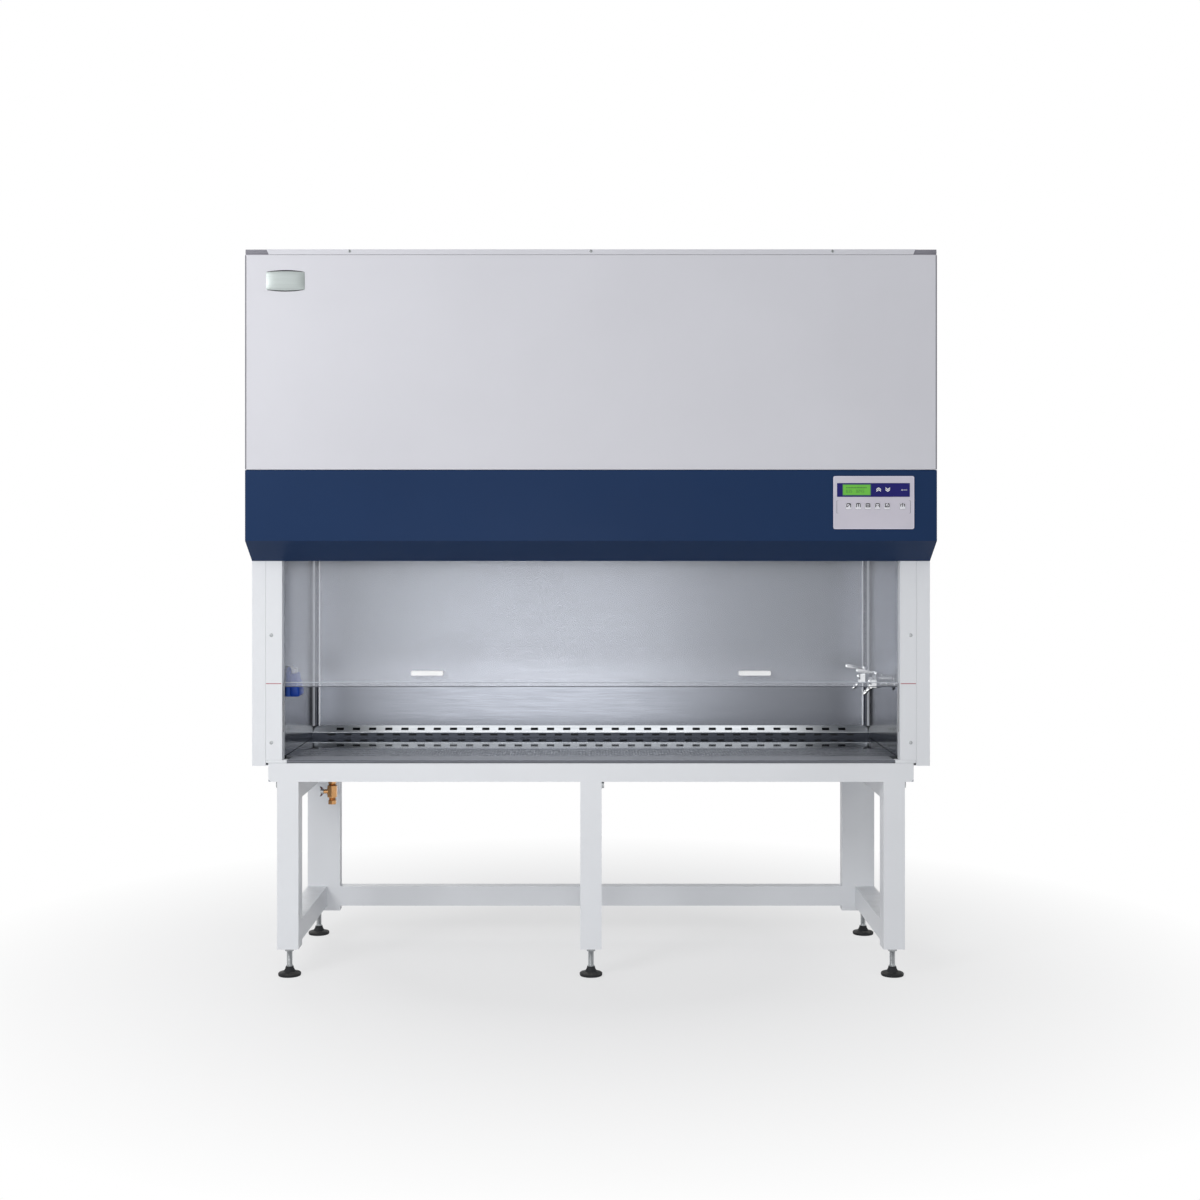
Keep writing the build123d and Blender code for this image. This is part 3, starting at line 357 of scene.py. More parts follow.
def galvanised_sheet(name):
    """Zinc sheet with its crystal spangle."""
    material, tree, shader = new_material(name, Metallic=0.9)
    cells = add(tree, "TexVoronoi", Vector=object_place(tree), Scale=60.0)
    split = add(tree, "SeparateColor", Color=cells.outputs["Color"])
    shade = blend_colours(tree, split.outputs[0], tint("#a9adb0"), tint("#c6cacd"))
    put(tree, shader, "Base Color", shade)
    put(tree, shader, "Roughness", spread_range(tree, split.outputs[1], 0.0, 1.0, 0.32, 0.5))
    return material


def plated_metal(name, colour, roughness, mottle=0.06, scale=55.0):
    """Chrome, zinc plate or machined brass: even metal with faint mottling."""
    material, tree, shader = new_material(name, Metallic=1.0)
    marks = smears(tree, scale)
    base, darker = colour_and_dimmed(colour, (1 - mottle * 3))
    shade = blend_colours(tree, marks, base, darker)
    set_skin(tree, shader, shade, marks, mottle * 2, roughness)
    return material


def bright_chrome():
    """Chrome plate with a painted reflection: faces turned up painted bright as a room above,
    faces turned down painted dark as a bench below, and faces turned sideways painted darker.
    """
    material, tree, shader = new_material("Chrome plate", Metallic=1.0)
    marks = smears(tree, 55.0)
    facing_way = axes(tree, add(tree, "NewGeometry").outputs["Normal"])
    # Painted reflection by which way a face turns.
    lift = spread_range(tree, facing_way["Z"], -0.55, 0.06)
    sides = spread_range(tree, math_node(tree, "ABSOLUTE", facing_way["X"]), 0.60, 0.97)
    shade = blend_colours(tree, lift, tint("#24262c"), tint("#fbfcfd"))
    shade = blend_colours(tree, math_node(tree, "MULTIPLY", sides, 0.75), shade,
                          tint("#4a4d56"))
    set_skin(tree, shader, shade, marks, 0.04, 0.1)
    return material


def moulded_plastic(name, colour, roughness=0.35, grain=1400.0, shine=0.5):
    """Injection moulded plastic with a fine etched surface."""
    material, tree, shader = new_material(name, Specular_IOR_Level=shine)
    texture = use_effect(tree, POWDER, Vector=object_place(tree), Peel_scale=grain,
                         Cloud_scale=12.0)
    base, darker = colour_and_dimmed(colour, 0.94)
    shade = blend_colours(tree, texture["Cloud"], base, darker)
    set_skin(tree, shader, shade, texture["Cloud"], 0.08, roughness)
    bump(tree, shader, texture["Height"], 0.06, 0.0002)
    return material


def sash_glass_material():
    """Tempered glass with a light haze, clear enough for light to pass."""
    material, tree, shader = new_material("Sash glass", Roughness=0.22, IOR=1.5)
    shader.inputs["Base Color"].default_value = tint("#e4e8f0")
    marks = smears(tree, 3.0)
    fresnel = add(tree, "Fresnel", IOR=1.45)
    haze = math_node(tree, "MULTIPLY_ADD", marks, 0.006, 0.178)
    put(tree, shader, "Alpha", math_node(tree, "MULTIPLY_ADD", fresnel.outputs[0], 0.5, haze))
    return material


def clear_edge_material():
    """The clear plastic profile on the lower edge of the sash."""
    material, tree, shader = new_material("Clear edge profile", Roughness=0.2, IOR=1.49)
    shader.inputs["Base Color"].default_value = tint("#dfe4ec")
    marks = smears(tree, 18.0)
    edge = add(tree, "LayerWeight", Blend=0.3)
    haze = math_node(tree, "MULTIPLY_ADD", marks, 0.02, 0.03)
    put(tree, shader, "Alpha", math_node(tree, "MULTIPLY_ADD", edge.outputs["Facing"], 0.25, haze))
    return material


def filter_paper():
    """Pleated glass-fibre paper: close folds along Y, with painted shade in their creases."""
    material, tree, shader = new_material("Pleated filter paper", Roughness=0.85)
    pleat_height_and_shade = add(tree, "TexWave", Vector=object_place(tree), Scale=45.0, Distortion=0.4)
    pleat_height_and_shade.bands_direction = "X"
    shade = blend_colours(tree, pleat_height_and_shade.outputs["Fac"], tint("#cfcec8"), tint("#f1f0ec"))
    put(tree, shader, "Base Color", shade)
    bump(tree, shader, pleat_height_and_shade.outputs["Fac"], 0.5, 0.003)
    return material


def lamp_glass():
    material, tree, shader = new_material("Opal lamp glass", Roughness=0.18)
    fall = noise(tree, object_place(tree), 18.0, 2.0)
    shade = blend_colours(tree, fall, tint("#eef0ef"), tint("#dfe3e4"))
    put(tree, shader, "Base Color", shade)
    return material


def display_glass():
    """A yellow-green backlit display, a little brighter in its middle."""
    material, tree, shader = new_material("Backlit display", Roughness=0.16)
    fall = noise(tree, object_place(tree), 30.0, 1.0)
    shade = blend_colours(tree, fall, tint("#55a52f"), tint("#62b336"))
    put(tree, shader, "Base Color", shade)
    put(tree, shader, "Emission Color", shade)
    shader.inputs["Emission Strength"].default_value = 0.25
    return material


def rubber():
    material, tree, shader = new_material("Black rubber", Specular_IOR_Level=0.3)
    place = object_place(tree)
    dusty = use_effect(tree, DUST, Vector=place, Scale=60.0, Amount=0.35)["Dust"]
    texture = use_effect(tree, POWDER, Vector=place, Peel_scale=1200.0, Cloud_scale=20.0)
    shade = blend_colours(tree, texture["Cloud"], tint("#26272a"), tint("#1c1d1f"))
    shade = blend_colours(tree, dusty, shade, tint("#77746e"))
    put(tree, shader, "Base Color", shade)
    shader.inputs["Roughness"].default_value = 0.68
    bump(tree, shader, texture["Height"], 0.2, 0.0003)
    return material


def tinted_cover():
    """Clear blue polycarbonate of the splash cover."""
    material, tree, shader = new_material("Blue polycarbonate", Roughness=0.25, IOR=1.45,
                                          Specular_IOR_Level=0.15)
    marks = smears(tree, 40.0)
    shade = blend_colours(tree, marks, tint("#1146b4"), tint("#1f60d8"))
    put(tree, shader, "Base Color", shade)
    edge = add(tree, "LayerWeight", Blend=0.35)
    put(tree, shader, "Alpha", spread_range(tree, edge.outputs["Facing"], 0.0, 1.0, 0.88, 0.98))
    return material


MATERIALS = {
    "white": powder_coat("White powder coat", "#eceef1"),
    "grey": powder_coat("Pale grey powder coat", "#d9d9df", dust=0.1),
    "blue": powder_coat("Navy powder coat", "#1c355b", roughness=0.34, cloud=0.08, dust=0.0,
                        shine=0.09),
    "steel": brushed_steel("Brushed stainless sheet", "#a3a7ae", 0.28, ALONG_X),
    "wall_steel": back_wall_steel(),
    # The right wall's lowest part is painted far darker than the left's: painted shade.
    "left_wall": side_wall_steel("Left wall stainless", "#6a6d76"),
    "right_wall": side_wall_steel("Right wall stainless", "#34363c"),
    "lip_steel": armrest_steel(),
    "grille_steel": brushed_steel("Intake grille stainless", "#cfd2d8", 0.24, ALONG_X),
    "slot_steel": slot_strip_steel(),
    "work_steel": brushed_steel("Polished work surface", "#b0b3ba", 0.04, ALONG_X, 0.03, 0.05),
    "zinc_sheet": galvanised_sheet("Galvanised sheet"),
    "aluminium": brushed_steel("Anodised aluminium", "#c9ccd0", 0.34, ALONG_Z),
    "chrome": bright_chrome(),
    "brass": plated_metal("Machined brass", "#cb9a68", 0.24),
    "zinc": plated_metal("Zinc plate", "#a9acae", 0.38),
    "cable": plated_metal("Steel cable", "#8f9296", 0.42),
    "white_plastic": moulded_plastic("White moulded plastic", "#eeeff1"),
    "pull_white": moulded_plastic("White pull", "#ffffff", 0.3, shine=0.8),
    "panel_plastic": moulded_plastic("Keypad plastic", "#d3cfda", 0.45),
    "key_plastic": moulded_plastic("Key plastic", "#f0eff5", 0.32),
    "red_grip": moulded_plastic("Dark red dipped grip", "#571822", 0.22, shine=0.8),
    "black_plastic": moulded_plastic("Black moulded plastic", "#232427", 0.4),
    "motor": powder_coat("Motor enamel", "#3c4348", roughness=0.45, dust=0.3),
    "rubber": rubber(),
    "glass": sash_glass_material(),
    "clear_edge": clear_edge_material(),
    "bead_plastic": moulded_plastic("Milky edge bead", "#c9cdd5", 0.4),
    "socket_blue": moulded_plastic("Blue socket plastic", "#3d62c0", 0.4, shine=0.2),
    "cap_shade_grey": moulded_plastic("End cap shade grey", "#8e8d95", 0.5, shine=0.3),
    "seam_shade": moulded_plastic("Painted seam shade", "#84838a", 0.5, shine=0.2),
    "seal_grey": moulded_plastic("Grey wiper lip", "#54575f", 0.6),
    "cover": tinted_cover(),
    "filter": filter_paper(),
    "lamp": lamp_glass(),
    "display": display_glass(),
    "badge": brushed_steel("Satin badge metal", "#8e9493", 0.34, ALONG_X),
    "badge_edge_shade": moulded_plastic("Badge edge shade", "#2c2b2f", 0.5, shine=0.2),
    "indigo": moulded_plastic("Indigo print", "#1b186a", 0.45, shine=0.2),
    "rim_plastic": moulded_plastic("Keypad rim", "#e4e0ee", 0.3),
    "grey_ink": moulded_plastic("Grey print", "#5f5d6c", 0.5),
    "dark_ink": moulded_plastic("Dark print", "#0c0b14", 0.6, shine=0.1),
    "lcd_ink": moulded_plastic("Display figures", "#2f6a22", 0.4),
    "bezel": moulded_plastic("Display bezel", "#3f6f4c", 0.3),
    "red_mark": moulded_plastic("Red marking", "#a83a44", 0.45),
    # Dark sheets and discs of painted shade in holes, gaps and ducts.
    "shade_sheet": moulded_plastic("Painted shade sheet", "#2a2c30", 0.7),
}
NODE_FINISH = {
    "white": ("front_legs", "rear_legs", "stand_rails", "front_beam", "outer_side_left",
              "outer_side_right", "rear_cover", "post_cover_left", "post_cover_right",
              "lamp_channel"),
    "grey": ("upper_front_panel", "top_cover"),
    "blue": ("blue_fascia",),
    "lip_steel": ("armrest_lip",),
    "steel": ("base_pan", "ceiling_diffuser", "exhaust_guard", "front_grille"),
    "wall_steel": ("back_wall",),
    "slot_steel": ("rear_slot_panel",),
    "left_wall": ("side_wall_left",),
    "right_wall": ("side_wall_right",),
    "work_steel": ("work_tray",),
    "zinc_sheet": ("plenum_box", "blower_housing", "electrical_box", "shaft_brackets",
                   "blower_wheel"),
    "aluminium": ("sash_rails", "sash_trims"),
    "chrome": ("cock_bodies", "cock_lever_front", "cock_lever_rear"),
    "brass": ("drain_valve",),
    "zinc": ("leg_bolts", "panel_screws", "sash_shaft"),
    "cable": ("sash_cables",),
    "white_plastic": ("socket_box",),
    "pull_white": ("sash_handles",),
    "panel_plastic": ("control_panel",),
    "key_plastic": tuple(f"key_{i}" for i in range(1, 7)),
    "red_grip": ("drain_handle",),
    "black_plastic": ("power_inlet", "key_up", "key_down"),
    "motor": ("blower_motor", "sash_motor"),
    "rubber": ("levelling_feet",),
    "glass": ("sash_glass",),
    "cover": ("socket_cover",),
    "filter": ("supply_filter", "exhaust_filter"),
    "lamp": ("lamp_tubes",),
    "display": ("display_window",),
}


def dress_nodes():
    for finish, names in NODE_FINISH.items():
        for name in names:
            slots = NODES[name].data.materials
            slots.clear()
            slots.append(MATERIALS[finish])


# ---------------------------------------------------------------- mesh helpers
def folded_panel(bm, low, high, hole_low, hole_high, wall):
    """Sheet strips round a rectangular opening, with a skirt down each of the four sides."""
    for x0, y0, x1, y1 in ((low.x, low.y, high.x, hole_low[1]),
                           (low.x, hole_high[1], high.x, high.y),
                           (low.x, hole_low[1], hole_low[0], hole_high[1]),
                           (hole_high[0], hole_low[1], high.x, hole_high[1])):
        block(bm, (x0, y0, high.z - wall), (x1, y1, high.z))
    for x0, y0, x1, y1 in ((low.x, low.y, high.x, low.y + wall),
                           (low.x, high.y - wall, high.x, high.y),
                           (low.x, low.y, low.x + wall, high.y),
                           (high.x - wall, low.y, high.x, high.y)):
        block(bm, (x0, y0, low.z), (x1, y1, high.z - wall))


def box_of(node):
    """A CAD node's lowest and highest corner."""
    low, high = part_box(node)
    return Vector(low), Vector(high)


def bevel(bm, edges, offset, segments, clamp=False):
    bmesh.ops.bevel(bm, geom=edges, offset=offset, segments=segments, profile=0.5,
                    affect="EDGES", material=-1, clamp_overlap=clamp)


def verts_of(geometry):
    return [item for item in geometry if isinstance(item, bmesh.types.BMVert)]


def push_out(bm, faces, move):
    """Extrude faces and shift what was made."""
    grown = bmesh.ops.extrude_face_region(bm, geom=faces)["geom"]
    bmesh.ops.translate(bm, vec=move, verts=verts_of(grown))


def block(bm, low, high, radius=0.0, segments=2):
    """A box between two corners, with its edges rounded."""
    made = bmesh.ops.create_cube(bm, size=1.0)["verts"]
    low, high = Vector(low), Vector(high)
    middle, size = (low + high) / 2, high - low
    bmesh.ops.scale(bm, vec=size, verts=made)
    bmesh.ops.translate(bm, vec=middle, verts=made)
    if radius:
        edges = list({edge for vert in made for edge in vert.link_edges})
        bevel(bm, edges, radius, segments, True)
    return made


def round_outline(angle):
    return 1.0


def hexagon(angle):
    """Distance from the middle to a hexagon's edge, for flats at distance 1."""
    sixth = math.pi / 3
    return 1.0 / math.cos((angle + math.pi / 6) % sixth - sixth / 2)


def stack(bm, rings, count=36, place=Matrix.Identity(4)):
    """A turned or hexagonal piece: rings of (outline, size, height) joined from end to end."""
    before = set(bm.verts)
    loops = []
    for outline, size, height in rings:
        ring = bmesh.ops.create_circle(bm, cap_ends=False, segments=count, radius=1.0)["verts"]
        for vert in ring:
            reach = size * outline(math.atan2(vert.co.y, vert.co.x))
            vert.co = Vector((vert.co.x * reach, vert.co.y * reach, height))
        loops.append(list({edge for vert in ring for edge in vert.link_edges}))
    for lower, upper in zip(loops, loops[1:]):
        bmesh.ops.bridge_loops(bm, edges=lower + upper)
    for end in (loops[0], loops[-1]):
        bmesh.ops.contextual_create(bm, geom=end)
    made = [vert for vert in bm.verts if vert not in before]
    bmesh.ops.transform(bm, matrix=place, verts=made)


def turned(*rings):
    """Rings of a round piece, from (radius, height) pairs in millimetres."""
    return [(round_outline, radius * MM, height * MM) for radius, height in rings]


def six_sided(*rings):
    """Rings of a hexagonal piece, from (half width over flats, height) pairs in millimetres."""
    return [(hexagon, half * MM, height * MM) for half, height in rings]


def facing(point, direction):
    """A place whose own Z points along a direction."""
    turn = Vector(direction).to_track_quat("Z", "Y").to_matrix().to_4x4()
    return Matrix.Translation(Vector(point)) @ turn


def new_object(name, bm, material):
    """A linked object made from a bmesh, with one material."""
    mesh = bpy.data.meshes.new(name)
    bm.to_mesh(mesh)
    bm.free()
    mesh.materials.append(material)
    made = bpy.data.objects.new(name, mesh)
    bpy.context.scene.collection.objects.link(made)
    return made


def finish_piece(name, bm, finish, body, slot, *nodes, sharp=32.0):
    """Turn a bmesh into a piece that rides on a body and may stand for CAD nodes."""
    bmesh.ops.recalc_face_normals(bm, faces=bm.faces)
    piece = new_object(name, bm, MATERIALS[finish])
    piece.data.shade_smooth()
    piece.data.set_sharp_from_angle(angle=math.radians(sharp))
    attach(piece, body)
    if nodes:
        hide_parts(*nodes)
    return piece


FRONT = (0.0, -1.0, 0.0)


# ---------------------------------------------------------------- fasteners
def button_screw(bm, place, radius=5.0, height=2.0):
    """A button head with a hexagon socket."""
    rings = turned((radius, 0.0), (radius, height * 0.35), (radius * 0.86, height * 0.75),
                   (radius * 0.62, height))
    rings += six_sided((radius * 0.42, height), (radius * 0.40, height * 0.3))
    stack(bm, rings, 24, place)


def hexagon_bolt(bm, place, flats=17.0, height=7.0):
    """A chamfered hexagon head on a flat washer."""
    half = flats / 2
    stack(bm, turned((half * 1.35, 0.0), (half * 1.35, 1.2)), 24, place)
    rings = six_sided((half, 1.2), (half, height - 1.4))
    rings += turned((half, height), (half * 0.6, height))
    stack(bm, rings, 24, place)


POST_SCREW_X = 0.896
POST_SCREW_Z = (0.660, 0.961)
TOP_SCREW_X = (-0.663, 0.0, 0.663)
TOP_SCREW_Z = 2.0203
LID_SET_BACK = 0.016
RAIL_HALF = 0.885


def make_screws():
    bm = bmesh.new()
    post_y = box_of("post_cover_left")[0].y
    top_y = box_of("upper_front_panel")[0].y
    for side in (-1, 1):
        for z in POST_SCREW_Z:
            button_screw(bm, facing((side * POST_SCREW_X, post_y, z), FRONT))
    for x in TOP_SCREW_X:
        button_screw(bm, facing((x, top_y, TOP_SCREW_Z), FRONT), 4.4)
    finish_piece("cover_screws", bm, "zinc", "cabinet", "zinc", "panel_screws")


def make_rear_screws():
    """Rows of screws along the edges of the rear cover."""
    bm = bmesh.new()
    low, high = box_of("rear_cover")
    inset = 14 * MM
    columns, rows = 9, 7
    for i in range(columns):
        x = low.x + inset + (high.x - low.x - 2 * inset) * i / (columns - 1)
        for z in (low.z + inset, high.z - inset):
            button_screw(bm, facing((x, high.y, z), (0, 1, 0)))
    for i in range(1, rows - 1):
        z = low.z + inset + (high.z - low.z - 2 * inset) * i / (rows - 1)
        for x in (low.x + inset, high.x - inset):
            button_screw(bm, facing((x, high.y, z), (0, 1, 0)))
    finish_piece("rear_screws", bm, "zinc", "cabinet", "zinc")


def leg_places():
    """Middles of the five legs at the floor, front row first."""
    front_low, front_high = box_of("front_legs")
    rear_low, rear_high = box_of("rear_legs")
    half = 30 * MM
    front_y, rear_y = (front_low.y + front_high.y) / 2, rear_low.y + half
    return [(front_low.x + half, front_y), (0.0, front_y), (front_high.x - half, front_y),
            (rear_low.x + half, rear_y), (rear_high.x - half, rear_y)]


def make_feet():
    """Rubber pads under zinc studs, each with its lock nut."""
    pads, metal = bmesh.new(), bmesh.new()
    for x, y in leg_places():
        place = Matrix.Translation((x, y, 0.0))
        stack(pads, turned((27, 0), (31, 0.8), (32, 3), (32, 7.5), (30.5, 9), (17, 12.5),
                           (12.5, 20), (11, 26), (9.5, 28)), 48, place)
        rings = turned((10, 27.5), (10, 29), (8, 30))
        for i in range(16):
            rings += turned((8.0, 31 + i * 2.4), (7.3, 32.2 + i * 2.4))
        stack(metal, rings, 24, place)
        stack(metal, six_sided((11.4, 70), (12, 71), (12, 79), (11.4, 80)), 24, place)
    finish_piece("foot_pads", pads, "rubber", "cabinet", "black_rubber", "levelling_feet")
    finish_piece("foot_studs", metal, "zinc", "cabinet", "zinc")


def make_leg_bolts():
    """One bolt a leg: in the outer side of the corner legs, the right side of the middle one."""
    bm = bmesh.new()
    top = box_of("front_legs")[1].z - 12 * MM
    for x, y in leg_places():
        side = -1 if x < 0 else 1
        hexagon_bolt(bm, facing((x + side * 30 * MM, y, top), (side, 0, 0)))
    finish_piece("stand_bolts", bm, "zinc", "cabinet", "zinc", "leg_bolts")


def weld_bead(bm, start, end, radius=2.2):
    """A ground-down fillet bead along a joint."""
    start, end = Vector(start), Vector(end)
    length = (end - start).length
    ripples = max(6, int(length / (6 * MM)))
    rings = []
    for i in range(ripples + 1):
        swell = 1.0 if i % 2 else 0.88
        rings.append((round_outline, radius * swell * MM, length * i / ripples))
    stack(bm, rings, 8, facing(start, end - start))


RAIL_X = (0.822, 0.878)
BEAM_X = 0.780


def make_welds():
    """Beads where the side rails and cross beams meet the legs and uprights."""
    bm = bmesh.new()
    low, high = box_of("stand_rails")
    front_back = box_of("front_legs")[1].y
    rail_top = low.z + 60 * MM
    for side in (-1, 1):
        x_in, x_out = side * RAIL_X[0], side * RAIL_X[1]
        for y in (front_back, high.y - 36 * MM):
            weld_bead(bm, (x_in, y, rail_top), (x_out, y, rail_top))
        beam_x = side * BEAM_X
        y0, y1 = high.y - 38 * MM, high.y - 2 * MM
        weld_bead(bm, (beam_x, y0, rail_top), (beam_x, y1, rail_top))
    finish_piece("weld_beads", bm, "white", "cabinet", "white_paint", sharp=60.0)


# ---------------------------------------------------------------- name plate
BADGE_X, BADGE_Z = -0.839, 1.939


def make_badge():
    """A bare, slightly domed metal plate with bowed long edges."""
    bm = bmesh.new()
    middle = Vector((BADGE_X, box_of("upper_front_panel")[0].y, BADGE_Z))
    half_wide, half_high, thick = 53 * MM, 27 * MM, 2.4 * MM
    grid = bmesh.ops.create_grid(bm, x_segments=24, y_segments=12, size=1.0)["verts"]
    for vert in grid:
        across, up = vert.co.x, vert.co.y
        bow = 1.0 - 0.10 * across * across
        dome = (1.0 - across ** 6) * (1.0 - up ** 4)
        vert.co = middle + Vector((across * half_wide, -thick * (0.45 + 0.55 * dome),
                                   up * half_high * bow))
    rim = [edge for edge in bm.edges if edge.is_boundary]
    walls = bmesh.ops.extrude_edge_only(bm, edges=rim)["geom"]
    for vert in verts_of(walls):
        vert.co.y = middle.y
    finish_piece("badge_plate", bm, "badge", "cabinet", "stainless", sharp=40.0)
    # Dark strips along the bowed long edges: painted shade where the edges turn away.
    bm = bmesh.new()
    for side in (-1, 1):
        strip = bmesh.ops.create_grid(bm, x_segments=24, y_segments=1, size=1.0)["verts"]
        for vert in strip:
            across, up = vert.co.x, (vert.co.y + 1) / 2
            edge = side * half_high * (1.0 - 0.10 * across * across)
            lift = side * (0.6 + 1.8 * (1 - across * across)) * MM
            vert.co = middle + Vector((across * half_wide * 0.94, -thick * (0.95 - 0.6 * up),
                                       edge + lift * up))
    bmesh.ops.solidify(bm, geom=list(bm.faces), thickness=0.4 * MM)
    finish_piece("badge_edge_shade", bm, "badge_edge_shade", "cabinet", "stainless", sharp=40.0)


# ---------------------------------------------------------------- control panel
BAND = ((0.675, 1.3457), (0.8750, 1.3836))
DIGIT_SEGMENTS = {"a": (0, 2, 1, 0), "b": (1, 1, 0, 1), "c": (1, 0, 0, 1), "d": (0, 0, 1, 0),
                  "e": (0, 0, 0, 1), "f": (0, 1, 0, 1), "g": (0, 1, 1, 0)}
DIGITS = {"0": "abcdef", "1": "bc", "2": "abged", "3": "abgcd", "4": "fgbc", "5": "afgcd"}


def flat_sheet(bm, low, high, front_y, thick, radius=0.0):
    """A thin sheet facing the front between two (x, z) corners."""
    made = bmesh.ops.create_cube(bm, size=1.0)["verts"]
    size = Vector((high[0] - low[0], thick, high[1] - low[1]))
    bmesh.ops.scale(bm, vec=size, verts=made)
    middle = Vector(((low[0] + high[0]) / 2, front_y + thick / 2, (low[1] + high[1]) / 2))
    bmesh.ops.translate(bm, vec=middle, verts=made)
    if radius:
        upright = [edge for edge in {e for v in made for e in v.link_edges}
                   if abs(edge.verts[0].co.y - edge.verts[1].co.y) > thick / 2]
        bevel(bm, upright, radius, 4)


def make_panel_band():
    """The printed indigo band behind the display and the two arrow keys."""
    bm = bmesh.new()
    front = box_of("control_panel")[0].y
    flat_sheet(bm, *BAND, front - 0.25 * MM, 0.25 * MM, 1.2 * MM)
    finish_piece("panel_band", bm, "indigo", "cabinet", "panel_plastic")


def round_rectangle(bm, low, high, inset, radius, y):
    """A closed loop of points on a rounded rectangle that faces the front."""
    points = []
    corners = ((high.x, high.z, 0), (low.x, high.z, 1), (low.x, low.z, 2), (high.x, low.z, 3))
    for x, z, quarter in corners:
        side_x = 1 if quarter in (0, 3) else -1
        side_z = 1 if quarter in (0, 1) else -1
        middle_x = x - side_x * (inset + radius)
        middle_z = z - side_z * (inset + radius)
        for step in range(7):
            angle = math.radians(90 * quarter + 15 * step)
            points.append(bm.verts.new((middle_x + radius * math.cos(angle), y,
                                        middle_z + radius * math.sin(angle))))
    return points


def make_panel_frame():
    """A raised rim round the keypad."""
    bm = bmesh.new()
    low, high = box_of("control_panel")
    top = low.y - 0.45 * MM
    loops = [round_rectangle(bm, low, high, inset * MM, (5.4 - inset) * MM, y)
             for inset, y in ((0.4, low.y), (0.4, top), (2.6, top), (2.6, low.y))]
    for near, far in zip(loops, loops[1:]):
        for i in range(len(near)):
            j = (i + 1) % len(near)
            bm.faces.new((near[i], near[j], far[j], far[i]))
    bmesh.ops.recalc_face_normals(bm, faces=bm.faces)
    finish_piece("panel_rim", bm, "rim_plastic", "cabinet", "panel_plastic", sharp=25.0)


BRACKETS = ((0.6745, 1), (0.8765, -1))
BRACKET_Z = (1.301, 1.335)


def make_panel_print():
    """Thin grey brackets at the left and right of the key row."""
    bm = bmesh.new()
    front = box_of("control_panel")[0].y
    for x, turn in BRACKETS:
        flat_sheet(bm, (x - 0.5 * MM, BRACKET_Z[0]), (x + 0.5 * MM, BRACKET_Z[1]),
                   front - 0.1 * MM, 0.1 * MM)
        for z in BRACKET_Z:
            ends = sorted((x, x + turn * 4 * MM))
            flat_sheet(bm, (ends[0], z - 0.3 * MM), (ends[1], z + 0.3 * MM),
                       front - 0.1 * MM, 0.1 * MM)
    finish_piece("panel_brackets", bm, "grey_ink", "cabinet", "panel_plastic")


def seven_segment(bm, text, x, z, high, front):
    """Plain figures built from seven bars each."""
    wide, bar = high * 0.5, high * 0.11
    for sign in text:
        if sign == ".":
            flat_sheet(bm, (x - bar, z), (x, z + bar), front, 0.08 * MM)
            x += bar * 1.5
            continue
        for segment in DIGITS[sign]:
            right, level, flat, upright = DIGIT_SEGMENTS[segment]
            left_x = x + right * (wide - bar)
            low_z = z + level * (high - bar) / 2
            size = (wide, bar) if flat else (bar, (high + bar) / 2)
            flat_sheet(bm, (left_x if upright else x, low_z),
                       ((left_x if upright else x) + size[0], low_z + size[1]),
                       front, 0.08 * MM)
        x += wide * 1.45


def make_display():
    """The display: its glass stays, with plain figures and a bar row printed on it."""
    bm = bmesh.new()
    low, high = box_of("display_window")
    front = low.y - 0.35 * MM
    flat_sheet(bm, (low.x, low.z), (high.x, high.z), front, 0.3 * MM, 1.0 * MM)
    finish_piece("display_face", bm, "display", "cabinet", "display_glass")
    bm = bmesh.new()
    ink = front - 0.1 * MM
    seven_segment(bm, "0.35", low.x + 8 * MM, low.z + 6 * MM, 7.5 * MM, ink)
    seven_segment(bm, "024.5", low.x + 36 * MM, low.z + 6 * MM, 7.5 * MM, ink)
    for i in range(14):
        x = low.x + (8 + i * 4.1) * MM
        flat_sheet(bm, (x, high.z - 9 * MM), (x + 3.0 * MM, high.z - 6.5 * MM), ink, 0.08 * MM)
    finish_piece("display_figures", bm, "lcd_ink", "cabinet", "display_glass")
    bm = bmesh.new()
    frame_low, frame_high = (low.x - 2.2 * MM, low.z - 2.2 * MM), (high.x + 2.2 * MM,
                                                                   high.z + 2.2 * MM)
    flat_sheet(bm, frame_low, frame_high, low.y - 0.3 * MM, 0.25 * MM, 1.6 * MM)
    finish_piece("display_bezel", bm, "bezel", "cabinet", "display_glass")


def chevron(bm, x, z, wide, high, thick, front, up):
    """A flat V made of two leaning bars that meet in the middle."""
    for side in (-1, 1):
        made = bmesh.ops.create_cube(bm, size=1.0)["verts"]
        half = wide / 2
        for vert in made:
            along = vert.co.x + 0.5
            lift = (1 - along) * high if up else along * high
            vert.co = Vector((x + side * along * half, front + (vert.co.y + 0.5) * 0.1 * MM,
                              z + lift + vert.co.z * thick))


def make_arrow_keys():
    """Indigo key caps with a white double chevron each."""
    for name, up in (("key_up", True), ("key_down", False)):
        low, high = box_of(name)
        bm = bmesh.new()
        flat_sheet(bm, (low.x, low.z), (high.x, high.z), low.y, 1.2 * MM, 3 * MM)
        finish_piece(f"{name}_face", bm, "indigo", f"{name}_cap", "key_plastic", name)
        bm = bmesh.new()
        middle_x, front = (low.x + high.x) / 2, low.y
        for level in (0.22, 0.56):
            z = low.z + (high.z - low.z) * level
            chevron(bm, middle_x, z, 12.4 * MM, 4.4 * MM, 3.4 * MM, front - 0.08 * MM, up)
        finish_piece(f"{name}_chevrons", bm, "white_plastic", f"{name}_cap", "key_plastic")


def sign_bar(bm, x, z, front, low, high):
    """One flat printed bar, given by its corners from the sign's middle in millimetres."""
    flat_sheet(bm, (x + low[0] * MM, z + low[1] * MM), (x + high[0] * MM, z + high[1] * MM),
               front - 0.12 * MM, 0.12 * MM)


